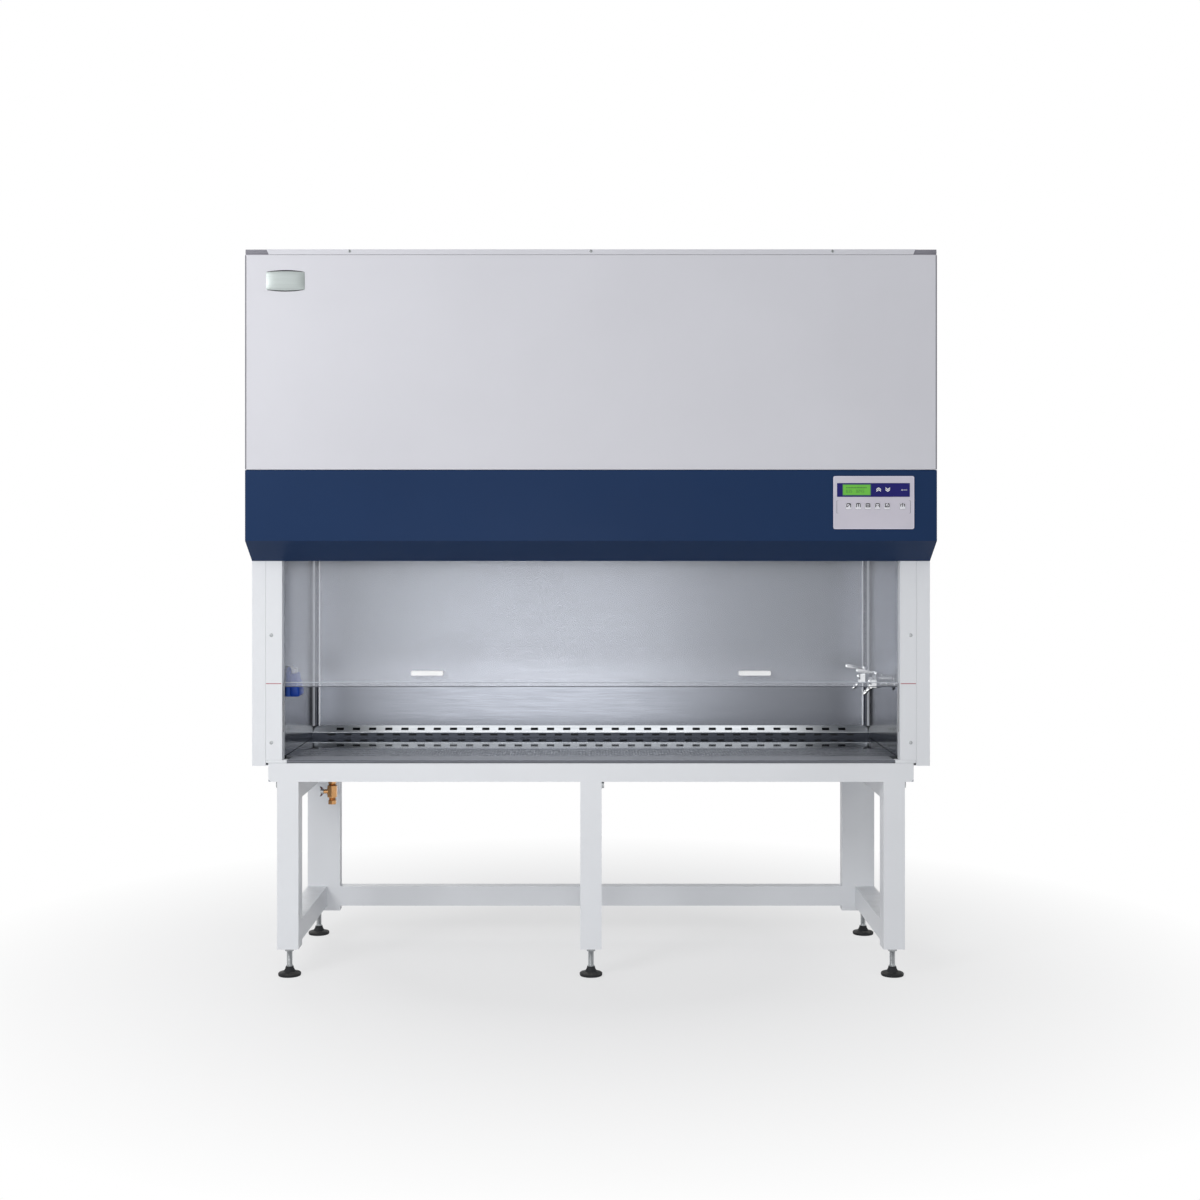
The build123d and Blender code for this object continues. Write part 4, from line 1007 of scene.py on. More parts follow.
# Bars of the key signs: (keys that carry them, low corner, high corner, mirrored or not).
# Key 1 is a fan, 2 a lamp, 3 a socket, 4 a shield, 5 a pen and 6 the power sign.
SIGN_BARS = (((1, 2, 3, 4, 5), (4.1, -4.4), (6.4, 4.4), True),
             ((6,), (4.1, -2.4), (6.4, 4.4), True),
             ((1, 3, 4), (-5.2, 4.3), (5.2, 6.6), False),
             ((2, 5), (1.6, 4.3), (5.2, 6.6), True),
             ((3, 5), (-6.4, -4.4), (6.4, -2.1), False),
             ((2, 6), (-1.15, -2.9), (1.15, 7.2), False),
             ((3,), (-3.8, 0.2), (3.8, 2.5), False),
             ((4,), (1.4, -1.2), (3.0, 1.4), True),
             ((6,), (2.4, 3.2), (5.6, 4.7), True))
# Slanting strokes in four steps: key, low corner of the first, its size, move to the next.
SIGN_STROKES = ((1, (-4.0, -3.4), (2.2, 2.2), (2.0, 1.8)),
                (5, (-2.2, -1.8), (1.8, 2.0), (1.7, 1.8)))


def key_icon(bm, kind, x, z, front):
    """An outlined generic sign on a key's upper part."""
    for keys, low, high, mirrored in SIGN_BARS:
        if kind in keys:
            sign_bar(bm, x, z, front, low, high)
            if mirrored:
                sign_bar(bm, x, z, front, (-high[0], low[1]), (-low[0], high[1]))
    for key, start, size, move in SIGN_STROKES:
        for step in range(4 if key == kind else 0):
            low = (start[0] + step * move[0], start[1] + step * move[1])
            sign_bar(bm, x, z, front, low, (low[0] + size[0], low[1] + size[1]))


def make_keys():
    """Six domed key caps, each with a dark printed outline and a sign."""
    for number in range(1, 7):
        name = f"key_{number}"
        low, high = box_of(name)
        bm = bmesh.new()
        middle = Vector(((low.x + high.x) / 2, 0.0, (low.z + high.z) / 2))
        block(bm, low, (high.x, low.y + 1.6 * MM, high.z), 1.4 * MM, 4)
        finish_piece(f"{name}_dome", bm, "key_plastic", f"{name}_cap", "key_plastic", name)
        bm = bmesh.new()
        key_icon(bm, number, middle.x, middle.z + 2.0 * MM, low.y + 0.02 * MM)
        finish_piece(f"{name}_sign", bm, "dark_ink", f"{name}_cap", "key_plastic")


INDICATOR_X, INDICATOR_Z = 0.8535, 1.3645
DASH = ((0.8565, 1.3640), (0.8675, 1.3652))


def make_indicator():
    """A small white lamp and its dash at the right end of the band."""
    bm = bmesh.new()
    front = box_of("control_panel")[0].y - 0.25 * MM
    place = facing((INDICATOR_X, front, INDICATOR_Z), FRONT)
    stack(bm, turned((1.9, 0), (1.7, 0.4), (1.0, 0.65), (0.3, 0.72)), 20, place)
    flat_sheet(bm, *DASH, front - 0.1 * MM, 0.1 * MM)
    finish_piece("panel_indicator", bm, "white_plastic", "cabinet", "panel_plastic")


# ---------------------------------------------------------------- marks on the posts
SASH_MARK_Z = 0.8253


def make_sash_marks():
    """The thin red lines that show the working height of the sash."""
    bm = bmesh.new()
    for side, node in ((-1, "post_cover_left"), (1, "post_cover_right")):
        front = box_of(node)[0].y
        inner, outer = sorted((side * 0.868, side * 0.911))
        flat_sheet(bm, (inner, SASH_MARK_Z - 1 * MM), (outer, SASH_MARK_Z + 1 * MM),
                   front - 0.15 * MM, 0.15 * MM)
    finish_piece("sash_height_marks", bm, "red_mark", "cabinet", "white_paint")


def square_up(verts, cell):
    """Move a ring of eight points onto the corners and mid-sides of a square."""
    for vert in verts:
        x, y = vert.co.x, vert.co.y
        reach = cell / 2 / max(abs(x), abs(y))
        vert.co.x, vert.co.y = x * reach, y * reach


def pierced_cell(bm, cell, hole, x, y):
    """One square of a perforated sheet with a round hole in its middle."""
    outer = bmesh.ops.create_circle(bm, cap_ends=False, segments=8, radius=1.0)["verts"]
    square_up(outer, cell)
    inner = bmesh.ops.create_circle(bm, cap_ends=False, segments=8, radius=hole / 2)["verts"]
    edges = {edge for vert in outer + inner for edge in vert.link_edges}
    bmesh.ops.bridge_loops(bm, edges=list(edges))
    bmesh.ops.translate(bm, vec=(x, y, 0.0), verts=outer + inner)


def plain_cell(bm, cell, x, y):
    made = bmesh.ops.create_circle(bm, cap_ends=True, segments=8, radius=1.0)["verts"]
    square_up(made, cell)
    bmesh.ops.translate(bm, vec=(x, y, 0.0), verts=made)


def repeat(piece, step, count):
    """Repeat a piece at even steps and weld the copies to each other."""
    array = piece.modifiers.new("rows", "ARRAY")
    array.use_relative_offset = False
    array.use_constant_offset = True
    array.constant_offset_displace = step
    array.count = count
    array.use_merge_vertices = True
    array.merge_threshold = 0.00005


def thicken(piece, thickness):
    wall = piece.modifiers.new("sheet", "SOLIDIFY")
    wall.thickness = thickness
    wall.offset = 0.0


def make_front_grille():
    """The front intake: a folded floor panel with a field of fine staggered holes."""
    low, high = box_of("front_grille")
    cell, hole, wall = 8.5 * MM, 6.2 * MM, 1.2 * MM
    margin_x, front_band, back_band = 15 * MM, 12 * MM, 22 * MM
    columns = int((high.x - low.x - 2 * margin_x) / cell / 2)
    rows = int((high.y - low.y - front_band - back_band) / cell / 2)
    wide, deep = columns * cell * 2, rows * cell * 2
    left, front = -wide / 2, low.y + front_band
    bm = bmesh.new()
    for column, row in ((0, 0), (1, 1)):
        pierced_cell(bm, cell, hole, (column + 0.5) * cell, (row + 0.5) * cell)
    for column, row in ((0, 1), (1, 0)):
        plain_cell(bm, cell, (column + 0.5) * cell, (row + 0.5) * cell)
    bmesh.ops.remove_doubles(bm, verts=bm.verts, dist=cell * 0.01)
    bmesh.ops.translate(bm, vec=(left, front, high.z - wall / 2), verts=bm.verts)
    mesh = finish_piece("grille_mesh", bm, "grille_steel", "cabinet", "stainless", sharp=20.0)
    repeat(mesh, (2 * cell, 0.0, 0.0), columns)
    repeat(mesh, (0.0, 2 * cell, 0.0), rows)
    thicken(mesh, wall)
    bm = bmesh.new()
    folded_panel(bm, low, high, (left, front), (left + wide, front + deep), wall)
    finish_piece("grille_panel", bm, "grille_steel", "cabinet", "stainless", "front_grille")
    # A dark sheet under the hole field: painted shade below the grille.
    bm = bmesh.new()
    block(bm, (left, front, high.z - 9 * MM), (left + wide, front + deep, high.z - 8 * MM))
    finish_piece("grille_shade", bm, "shade_sheet", "cabinet", "black_plastic")


POST_INNER_X = 0.866
VENT_Y, VENT_Z = -0.2775, 0.689


def make_post_vents():
    """A column of small suction holes in each post's inner return, above the work surface."""
    cell, hole, count = 9 * MM, 4.4 * MM, 15
    for side, word in ((-1, "left"), (1, "right")):
        strip, shade_backing = bmesh.new(), bmesh.new()
        pierced_cell(strip, cell, hole, cell / 2, cell / 2)
        edge = 0.5 * MM
        # A dark backing behind the holes: a sheet of painted shade.
        block(shade_backing, (-edge, -edge, -2 * edge), (cell + edge, count * cell + edge, -edge))
        inner_x = side * (POST_INNER_X - 1.2 * MM)
        turn = Matrix(((0, 0, -side, inner_x), (1, 0, 0, VENT_Y), (0, 1, 0, VENT_Z),
                       (0, 0, 0, 1)))
        for bm in (strip, shade_backing):
            bmesh.ops.transform(bm, matrix=turn, verts=bm.verts)
        vent = finish_piece(f"post_vent_{word}", strip, "white", "cabinet", "white_paint",
                            sharp=20.0)
        repeat(vent, (0.0, 0.0, cell), count)
        thicken(vent, 0.6 * MM)
        finish_piece(f"post_vent_shade_{word}", shade_backing, "shade_sheet", "cabinet", "black_plastic")


# ---------------------------------------------------------------- sash edges
def grooved_bar(bm, low, high, wall, up):
    """A bar with rounded long edges and a groove for the glass in its upper or lower side."""
    block(bm, low, high)
    ends = (low.x, high.x)
    long_edges = [edge for edge in bm.edges
                  if abs(edge.verts[0].co.x - edge.verts[1].co.x) > (ends[1] - ends[0]) / 2]
    level = high.z if up else low.z
    bevel(bm, long_edges, 0.9 * MM, 3)
    flat = [face for face in bm.faces if abs(face.calc_center_median().z - level) < 0.05 * MM]
    bmesh.ops.inset_region(bm, faces=flat, thickness=wall)
    floor = bmesh.ops.extrude_face_region(bm, geom=flat)["geom"]
    bmesh.ops.delete(bm, geom=flat, context="FACES_ONLY")
    depth = (high.z - low.z) - 2 * wall
    bmesh.ops.translate(bm, vec=(0, 0, -depth if up else depth), verts=verts_of(floor))


def make_sash_edges():
    """A clear edge profile with a wiper lip under the glass, and a metal bar over it."""
    low, high = box_of("sash_trims")
    bottom_top = low.z + 14 * MM
    bm = bmesh.new()
    grooved_bar(bm, Vector((low.x, low.y + 0.3 * MM, low.z + 1.2 * MM)),
                Vector((high.x, high.y, bottom_top)), 1.4 * MM, True)
    finish_piece("sash_edge_profile", bm, "clear_edge", "sash", "sash_glass", "sash_trims")
    bm = bmesh.new()
    grooved_bar(bm, Vector((low.x, low.y, high.z - 20 * MM)), high.copy(), 2 * MM, False)
    finish_piece("sash_top_bar", bm, "aluminium", "sash", "aluminium")
    bm = bmesh.new()
    block(bm, (low.x, low.y, low.z), (high.x, high.y, low.z + 1.3 * MM), 0.4 * MM)
    finish_piece("sash_wiper", bm, "seal_grey", "sash", "black_rubber")
    bm = bmesh.new()
    block(bm, (low.x, low.y, bottom_top - 1.8 * MM), (high.x, low.y + 1.0 * MM, bottom_top),
          0.3 * MM)
    finish_piece("sash_edge_bead", bm, "bead_plastic", "sash", "sash_glass")


# ---------------------------------------------------------------- return duct
THROAT = Vector((0.0, 0.2795, 0.6365))
THROAT_FOOT = ((0.2752, 0.6105), (0.2758, 0.6255))


def make_duct_shade():
    """Dark sheets of painted shade in the duct behind the return slots: one face behind the slope,
    one behind its foot.
    """
    half, step = box_of("rear_slot_panel")[1].x - 12 * MM, 19 * MM
    bm = bmesh.new()
    block(bm, (-half, -step * 0.62, -0.4 * MM), (half, step * 0.62, 0.4 * MM))
    middle = THROAT + Vector((0.0, 0.7071, -0.7071)) * 4.5 * MM
    turn = Matrix.Rotation(math.radians(45), 4, "X")
    bmesh.ops.transform(bm, matrix=Matrix.Translation(middle) @ turn, verts=bm.verts)
    block(bm, (-half, *THROAT_FOOT[0]), (half, *THROAT_FOOT[1]))
    finish_piece("duct_shade", bm, "shade_sheet", "cabinet", "black_plastic")


# ---------------------------------------------------------------- post feet
def make_post_feet():
    """The closing strip between each post cover and the front beam."""
    bm = bmesh.new()
    beam_top = box_of("front_beam")[1].z
    for side, node in ((-1, "post_cover_left"), (1, "post_cover_right")):
        low, high = box_of(node)
        inner = side * (box_of("armrest_lip")[1].x + 1 * MM)
        outer = side * max(abs(low.x), abs(high.x))
        x0, x1 = sorted((inner, outer))
        block(bm, (x0, low.y + 0.6 * MM, beam_top + 0.2 * MM),
              (x1, high.y - 1 * MM, low.z - 0.2 * MM), 0.8 * MM)
    finish_piece("post_feet", bm, "white", "cabinet", "white_paint", sharp=45.0)


# ---------------------------------------------------------------- lid and seams
CAP_X = (0.8815, 0.9492)
RIB_PITCH, RIB_HIGH = 5.1, 4.9
SEAM_X = (0.9464, 0.9497)


def make_lid_corners():
    """Ribbed end caps that fill the notches at both ends of the lid's front rail, painted grey as
    painted shade in the notches.
    """
    bm = bmesh.new()
    low, high = box_of("upper_front_panel")
    front, foot = low.y + 1.5 * MM, high.z + 0.3 * MM
    for side in (-1, 1):
        x0, x1 = sorted((side * CAP_X[0], side * CAP_X[1]))
        for rib, set_back in ((0, 1.2), (1, 0.0), (2, 1.2)):
            z = foot + rib * RIB_PITCH * MM
            block(bm, (x0, front + set_back * MM, z), (x1, front + 60 * MM, z + RIB_HIGH * MM),
                  0.6 * MM)
    finish_piece("lid_corner_caps", bm, "cap_shade_grey", "cabinet", "black_plastic", sharp=45.0)


def make_lid():
    """The folded lid with its exhaust opening, and a low rail with undercut ends in front."""
    bm = bmesh.new()
    front_y, foot = box_of("upper_front_panel")[0].y, box_of("upper_front_panel")[1].z
    low, high = box_of("top_cover")
    guard_low, guard_high = box_of("exhaust_guard")
    top, back = guard_low.z, front_y + LID_SET_BACK
    rim = 14 * MM
    folded_panel(bm, Vector((low.x, back, foot)), Vector((high.x, high.y, top)),
                 (guard_low.x + rim, guard_low.y + rim),
                 (guard_high.x - rim, guard_high.y - rim), 1.5 * MM)
    rail = block(bm, (-RAIL_HALF, front_y, foot + 1.2 * MM),
                 (RAIL_HALF, back + 4 * MM, top - 0.4 * MM))
    for vert in rail:
        if vert.co.z > foot + 8 * MM:
            vert.co.x += math.copysign(6 * MM, vert.co.x)
    finish_piece("lid_and_rail", bm, "grey", "cabinet", "grey_panel", "top_cover", sharp=45.0)
    # A grey strip in the seam under the rail: painted shade in the gap.
    bm = bmesh.new()
    seam_half = RAIL_HALF - 1 * MM
    block(bm, (-seam_half, front_y + 1.5 * MM, foot - 1 * MM),
          (seam_half, front_y + 6 * MM, foot + 1.4 * MM))
    finish_piece("lid_seam", bm, "seam_shade", "cabinet", "grey_panel", sharp=45.0)


def make_panel_edges():
    """A grey strip of painted shade in the seam between the front panel and the edge of each outer
    side.
    """
    bm = bmesh.new()
    low, high = box_of("upper_front_panel")
    for side in (-1, 1):
        x0, x1 = sorted((side * SEAM_X[0], side * SEAM_X[1]))
        block(bm, (x0, low.y - 0.3 * MM, low.z + 1 * MM), (x1, low.y + 4 * MM, high.z - 1 * MM))
    finish_piece("panel_edge_seams", bm, "seam_shade", "cabinet", "grey_panel", sharp=45.0)


# ---------------------------------------------------------------- wall cocks
COCK_Z = 0.814
COCK_BONNET_Z = 0.840
COCK_STEM_X = 0.824
COCK_WALL_X = 0.875
COCK_Y = {"front": -0.145, "rear": 0.052}


def cock_body(bm, y):
    """Escutcheon, pipe, hexagon valve with its bonnet and stem, and a barbed hose nozzle."""
    wall = facing((COCK_WALL_X, y, COCK_Z), (-1, 0, 0))
    stack(bm, turned((20, 0), (20, 1.4), (19, 2.6), (15.5, 3.8), (11.5, 4.6), (10.2, 5)), 48, wall)
    stack(bm, turned((9, 4.6), (9, 16), (10.4, 16.8), (10.8, 18), (10.8, 22), (10.4, 23.2),
                     (9, 24), (9, 42)), 36, wall)
    upright = Matrix.Translation((COCK_STEM_X, y, COCK_Z))
    stack(bm, turned((10.5, -13)) + six_sided((11.6, -13), (13, -11.6), (13, 11.6), (11.6, 13))
          + turned((9.6, 13)), 36, upright)
    stack(bm, turned((8.4, 12.6), (8.4, 14))
          + six_sided((8.2, 14.4), (9, 15.2), (9, 24.6), (8, 26)) + turned((6.2, 26)), 36, upright)
    stack(bm, turned((4, 25.6), (4, 34.2), (3.2, 35)), 24, upright)
    stack(bm, turned((6.4, -6), (6.4, 5.4), (5.6, 6.6), (3.4, 7.2)), 28,
          facing((COCK_STEM_X - 17 * MM, y, COCK_Z + 7 * MM), FRONT))
    stack(bm, turned((4.4, 0), (4.4, 8)), 20,
          facing((COCK_STEM_X - 11 * MM, y, COCK_Z + 7 * MM), (-1, 0, 0)))
    root = facing((COCK_STEM_X - 7.8 * MM, y, COCK_Z - 3.9 * MM), (-1, 0, -1))
    stack(bm, six_sided((6.5, 0), (6.5, 13.2), (5.8, 14))
          + turned((4.6, 14.2), (6.1, 15.2), (6.5, 16.4), (4.6, 26.2), (6.1, 27.4), (6.5, 28.6),
                   (4.6, 39), (4.1, 40), (2.5, 40), (2.5, 33)), 36, root)


def cock_lever(bm, y):
    """A teardrop paddle that stands upright and rises toward its broad end, on a round hub."""
    hub = Matrix.Translation((COCK_STEM_X, y, COCK_BONNET_Z + 0.3 * MM))
    stack(bm, turned((8.8, 0), (10, 1), (10, 7.4), (9.2, 8.6), (7.6, 9), (4.3, 9), (4.3, 8)),
          40, hub)
    before = set(bm.verts)
    made = bmesh.ops.create_circle(bm, cap_ends=True, segments=40, radius=1.0)["verts"]
    for vert in made:
        across, along = vert.co.y, (1 - vert.co.x) / 2
        half = (3.6 + 5.6 * along ** 1.5) * MM
        side = math.copysign(min(1.0, abs(across) ** 0.62), across) if across else 0.0
        vert.co = Vector((-58 * MM * along, 0.0, half * side + 7 * MM * along))
    faces = [face for face in bm.faces if all(vert in made for vert in face.verts)]
    push_out(bm, faces, (0, 5 * MM, 0))
    blade = [vert for vert in bm.verts if vert not in before]
    rims = {edge for vert in blade for edge in vert.link_edges
            if edge.calc_face_angle(0.0) > math.radians(60)}
    bevel(bm, list(rims), 1.8 * MM, 4)
    blade = [vert for vert in bm.verts if vert not in before]
    bmesh.ops.transform(bm, matrix=hub @ Matrix.Translation((0, -2.5 * MM, 4 * MM)),
                        verts=blade)


def make_cocks():
    bm = bmesh.new()
    for y in COCK_Y.values():
        cock_body(bm, y)
    finish_piece("cock_fittings", bm, "chrome", "cabinet", "chrome", "cock_bodies")
    for name, y in COCK_Y.items():
        bm = bmesh.new()
        cock_lever(bm, y)
        finish_piece(f"{name}_cock_handle", bm, "chrome", f"{name}_cock_lever", "chrome",
                     f"cock_lever_{name}", sharp=45.0)


# ---------------------------------------------------------------- power socket
HINGE_X, HINGE_Z = -0.868, 0.859
SOCKET_Z = 0.815
COVER_BACK_X = -0.8624


def make_socket_base():
    """The socket plate on the left wall, with a round recess rim, and two contact holes drawn as
    dark discs of painted shade.
    """
    low, high = box_of("socket_box")
    wall, y, z = low.x, (low.y + high.y) / 2, SOCKET_Z
    plate, half = wall + 12 * MM, 40 * MM
    bm = bmesh.new()
    block(bm, (wall, y - half, z - 36 * MM), (plate, y + half, z + 36 * MM), 3 * MM, 4)
    stack(bm, turned((23, 0), (23, 0.3), (22.4, 0.5), (20.6, 0.5), (20, 0.1)), 48,
          facing((plate, y, z), (1, 0, 0)))
    hinge = Vector((HINGE_X, y, HINGE_Z))
    for side in (-1, 1):
        y0, y1 = sorted((y + side * 24 * MM, y + side * 29 * MM))
        block(bm, (wall, y0, z + 34 * MM), (-0.8635, y1, hinge.z), 0.8 * MM)
        stack(bm, turned((4.6, 0), (5, 0.4), (5, 4.6), (4.6, 5)), 28,
              facing((hinge.x, y0, hinge.z), (0, 1, 0)))
    stack(bm, turned((2.5, 0), (2.5, 48)), 20,
          facing((hinge.x, y - 24 * MM, hinge.z), (0, 1, 0)))
    finish_piece("socket_plate", bm, "socket_blue", "cabinet", "blue_plastic", "socket_box")
    # Dark discs for the contact holes: painted shade.
    bm = bmesh.new()
    for side in (-1, 1):
        stack(bm, turned((3, 0), (3, 0.12)), 20,
              facing((plate, y, z + side * 12 * MM), (1, 0, 0)))
    finish_piece("socket_hole_shades", bm, "shade_sheet", "cabinet", "black_plastic")


def make_socket_cover():
    """The clear blue cover: a blown shell, open toward the wall, that hangs from its hinge."""
    low, high = box_of("socket_cover")
    bm = bmesh.new()
    back = COVER_BACK_X
    outline = ((back, 0.845), (-0.8484, 0.845), (high.x, 0.795), (high.x, low.z), (back, low.z))
    ring = [bm.verts.new((x, low.y, z)) for x, z in outline]
    side = bm.faces.new(ring)
    push_out(bm, [side], (0, high.y - low.y, 0))
    rims = [edge for edge in bm.edges
            if any(vert.co.x > back + 1 * MM for vert in edge.verts)]
    bevel(bm, rims, 5 * MM, 5)
    mouth = [face for face in bm.faces
             if all(abs(vert.co.x - back) < 0.05 * MM for vert in face.verts)]
    bmesh.ops.delete(bm, geom=mouth, context="FACES")
    bmesh.ops.recalc_face_normals(bm, faces=bm.faces)
    bmesh.ops.solidify(bm, geom=list(bm.faces), thickness=2 * MM)
    finish_piece("splash_shell", bm, "cover", "splash_cover", "blue_plastic", "socket_cover")
    bm = bmesh.new()
    y, half = (low.y + high.y) / 2, 23.7 * MM
    block(bm, (back + 1 * MM, y - half, 0.843), (-0.8515, y + half, 0.858), 1.2 * MM, 3)
    block(bm, (HINGE_X, y - half, 0.8565), (back + 2 * MM, y + half, 0.8578), 0.3 * MM)
    stack(bm, turned((2.6, 0), (4.6, 0), (5, 0.4), (5, 47), (4.6, 47.4), (2.6, 47.4)), 28,
          facing((HINGE_X, y - half, HINGE_Z), (0, 1, 0)))
    finish_piece("splash_hinge", bm, "white_plastic", "splash_cover", "blue_plastic")


# ---------------------------------------------------------------- drain valve
DRAIN_X, DRAIN_Y, DRAIN_BALL_Z = -0.737, -0.220, 0.512


def make_drain():
    """A brass ball valve: flange, hexagon ends, threads and a hexagon body."""
    bm = bmesh.new()
    place = Matrix.Translation((DRAIN_X, DRAIN_Y, 0.0))
    rings = turned((6.6, 492), (7, 478), (7, 476), (9.2, 476))
    rings += six_sided((9.6, 476.2), (10.5, 477.2), (10.5, 487), (9.6, 488))
    rings += turned((9.2, 488.2))
    for i in range(3):
        rings += turned((9.9, 489.2 + i * 2), (9.1, 490.2 + i * 2))
    rings += turned((9.2, 495.8))
    rings += six_sided((12, 496), (13, 497.4), (13, 528.6), (12, 530)) + turned((9.6, 530.2))
    for i in range(2):
        rings += turned((10.2, 531 + i * 1.6), (9.5, 531.8 + i * 1.6))
    rings += six_sided((9.8, 534.4), (10.5, 535.4), (10.5, 543.4), (9.8, 544.4))
    rings += turned((15, 545), (16, 546), (16, 550))
    stack(bm, rings, 36, place)
    stem = facing((DRAIN_X + 11 * MM, DRAIN_Y, DRAIN_BALL_Z), (-1, 0, 0))
    stack(bm, turned((8.2, 22), (8.2, 25.6), (6, 26.4), (6, 35), (4, 35), (4, 41)), 28, stem)
    finish_piece("drain_cock", bm, "brass", "cabinet", "brass", "drain_valve")


def make_drain_handle():
    """The butterfly handle with dipped wings, on a hub with its lock nut."""
    out = DRAIN_X - 26 * MM
    thick = 5 * MM
    bm = bmesh.new()
    made = bmesh.ops.create_circle(bm, cap_ends=True, segments=36, radius=1.0)["verts"]
    for vert in made:
        up, across = vert.co.x, vert.co.y
        waist = 0.62 + 0.38 * abs(up) ** 1.5
        side = math.copysign(abs(across) ** 0.5, across) if across else 0.0
        vert.co = Vector((0.0, 5.6 * MM * side * waist, 14 * MM * up))
    push_out(bm, list(bm.faces), (thick, 0, 0))
    rims = [edge for edge in bm.edges if edge.calc_face_angle(0.0) > math.radians(60)]
    bevel(bm, rims, 1.8 * MM, 4)
    for vert in bm.verts:
        vert.co.x -= 7.5 * MM * (abs(vert.co.z) / (14 * MM)) ** 2
    bmesh.ops.translate(bm, vec=(out - 3.4 * MM, DRAIN_Y, DRAIN_BALL_Z), verts=bm.verts)
    finish_piece("drain_wings", bm, "red_grip", "drain_lever", "handle_red", "drain_handle",
                 sharp=50.0)
    bm = bmesh.new()
    place = facing((out + 1.6 * MM, DRAIN_Y, DRAIN_BALL_Z), (-1, 0, 0))
    stack(bm, turned((4.3, 0), (8, 0), (8, 4.8), (7.4, 5.6)), 32, place)
    stack(bm, six_sided((5.6, 5.6), (5.8, 6), (5.8, 8.6), (5.0, 9.2))
          + turned((3.2, 9.2), (3.0, 9.8), (1.4, 10.4)), 24, place)
    finish_piece("drain_nut", bm, "zinc", "drain_lever", "zinc")


# ---------------------------------------------------------------- inlet and lamps
LAMP_Z = 1.233


def make_inlet_pins():
    """Three flat contact blades in the inlet's well and two flush screws in its flange."""
    low, high = box_of("power_inlet")
    x, z = (low.x + high.x) / 2, (low.z + high.z) / 2
    bm = bmesh.new()
    for dx, dz in ((-7, -2), (0, 3), (7, -2)):
        middle = Vector((x + dx * MM, 0.388, z + dz * MM))
        size = Vector((1.0, 5.0, 2.0)) * MM
        block(bm, middle - size, middle + size, 0.3 * MM)
    finish_piece("inlet_pins", bm, "brass", "cabinet", "brass")
    bm = bmesh.new()
    for side in (-1, 1):
        stack(bm, turned((3.4, -1.2), (3.4, -0.4), (2.4, -0.1), (1.2, -0.1), (1.0, -0.6)), 20,
              facing((x + side * 25.5 * MM, high.y, z), (0, 1, 0)))
    finish_piece("inlet_screws", bm, "zinc", "cabinet", "zinc")


def make_lamp_caps():
    """Aluminium end caps with their contact pins on both lamp tubes."""
    bm = bmesh.new()
    low, high = box_of("lamp_tubes")
    for y, radius in ((low.y + 13 * MM, 13.0), (high.y - 8 * MM, 8.0)):
        for side in (-1, 1):
            end = Vector((high.x if side > 0 else low.x, y, LAMP_Z))
            place = facing(end - Vector((side * 20 * MM, 0, 0)), (side, 0, 0))
            rim = radius + 0.5
            stack(bm, turned((radius, 0), (rim, 0.4), (rim, 18.6), (rim - 1, 19.8)), 32, place)
    finish_piece("lamp_caps", bm, "aluminium", "cabinet", "aluminium")


# ---------------------------------------------------------------- studio
WHITE = (1.0, 1.0, 1.0, 1.0)
FLOOR_RADIUS = 30.0


def shaded_by(tree, plain, lit, factor, output):
    """Mix two shaders by a factor and send the result to the output."""
    mix = add(tree, "MixShader", Fac=factor)
    tree.links.new(plain.outputs[0], mix.inputs[1])
    tree.links.new(lit.outputs[0], mix.inputs[2])
    tree.links.new(mix.outputs[0], output.inputs[0])


def ray_kinds(tree, *kinds):
    """1 for a ray of any of the kinds, else 0."""
    rays = add(tree, "LightPath").outputs
    seen = rays[kinds[0]]
    for kind in kinds[1:]:
        seen = math_node(tree, "MAXIMUM", seen, rays[kind])
    return seen


def studio_floor():
    """A white floor that keeps the shadow under the stand and runs out to plain white."""
    material = bpy.data.materials.new("Studio floor")
    material.use_nodes = True
    tree = material.node_tree
    tree.nodes.clear()
    output = add(tree, "OutputMaterial")
    paper = add(tree, "BsdfDiffuse", Color=(0.72, 0.72, 0.73, 1.0))
    bright = add(tree, "Emission", Color=WHITE, Strength=1.0)
    length = add(tree, "VectorMath")
    length.operation = "LENGTH"
    tree.links.new(add(tree, "TexCoord").outputs["Object"], length.inputs[0])
    far = spread_range(tree, length.outputs["Value"], 0.6, 2.0, 0.6, 1.0)
    seen = ray_kinds(tree, "Is Camera Ray", "Is Glossy Ray")
    shaded_by(tree, paper, bright, math_node(tree, "MULTIPLY", far, seen), output)
    bm = bmesh.new()
    bmesh.ops.create_circle(bm, cap_ends=True, segments=96, radius=FLOOR_RADIUS)
    floor = new_object("studio_floor", bm, material)


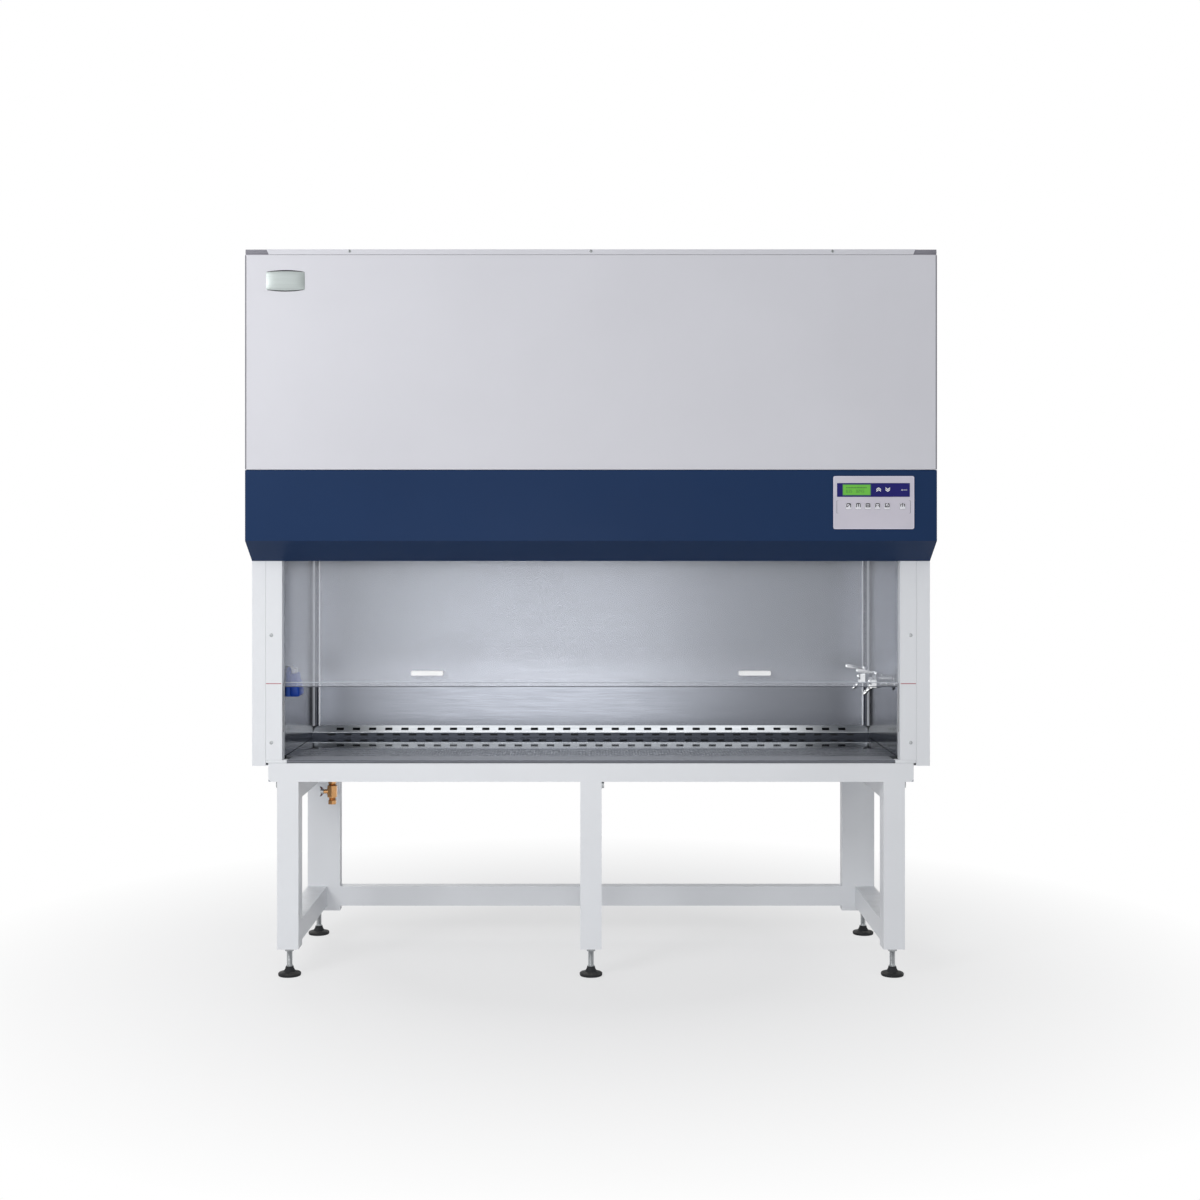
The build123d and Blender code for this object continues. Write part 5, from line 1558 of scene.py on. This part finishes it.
def studio_world():
    """White behind the part, and a soft light that comes mostly from the front."""
    world = bpy.data.worlds.new("Studio")
    bpy.context.scene.world = world
    world.use_nodes = True
    tree = world.node_tree
    tree.nodes.clear()
    output = add(tree, "OutputWorld")
    place = axes(tree, add(tree, "TexCoord").outputs["Generated"])
    toward_front = spread_range(tree, place["Y"], 0.2, -0.95, 0.10, 0.85)
    soft = add(tree, "Background", Color=(0.97, 0.98, 1.0, 1.0), Strength=toward_front)
    white = add(tree, "Background", Color=WHITE, Strength=1.0)
    seen = ray_kinds(tree, "Is Camera Ray", "Is Glossy Ray", "Is Transmission Ray")
    shaded_by(tree, soft, white, seen, output)


def area_lamp(name, place, target, size, power, colour=(1.0, 1.0, 1.0)):
    light = bpy.data.lights.new(name, "AREA")
    light.shape = "RECTANGLE"
    light.size, light.size_y = size
    light.energy = power
    light.color = colour
    lamp = bpy.data.objects.new(name, light)
    lamp.location = place
    aim = Vector(target) - Vector(place)
    lamp.rotation_euler = aim.to_track_quat("-Z", "Y").to_euler()
    lamp.visible_camera = False
    bpy.context.scene.collection.objects.link(lamp)


def studio_lamps():
    area_lamp("key", (-2.3, -3.0, 2.5), (-0.5, 0.0, 1.5), (1.2, 1.6), 42.0)
    area_lamp("front", (-0.34, -5.3, 0.55), (0.05, 0.0, 0.85), (1.75, 1.3), 35.0)
    area_lamp("back", (-1.5, 3.2, 2.6), (0.0, 0.3, 1.0), (2.4, 2.4), 40.0)
    area_lamp("chamber", (0.0, 0.10, 1.262), (0.0, 0.10, 0.6), (1.50, 0.34), 2.2)


def place_camera():
    camera = bpy.data.cameras.new("camera")
    camera.lens = LENS_MM
    camera.sensor_width = 36.0
    camera.shift_x, camera.shift_y = SHIFT
    holder = bpy.data.objects.new("camera", camera)
    holder.location = EYE
    holder.rotation_euler = (math.radians(90), 0.0, 0.0)
    bpy.context.scene.collection.objects.link(holder)
    bpy.context.scene.camera = holder


# ---------------------------------------------------------------- run
for step in (dress_nodes, make_screws, make_rear_screws, make_feet, make_leg_bolts, make_welds,
             make_badge, make_panel_band, make_panel_frame, make_panel_print, make_display,
             make_arrow_keys, make_keys, make_indicator, make_sash_marks, make_front_grille,
             make_post_vents, make_duct_shade, make_post_feet, make_lid_corners, make_lid,
             make_panel_edges, make_sash_edges, make_cocks, make_socket_base, make_socket_cover,
             make_drain, make_drain_handle, make_inlet_pins, make_lamp_caps, studio_floor,
             studio_world, studio_lamps, place_camera):
    step()
bpy.context.scene.view_settings.view_transform = "Standard"
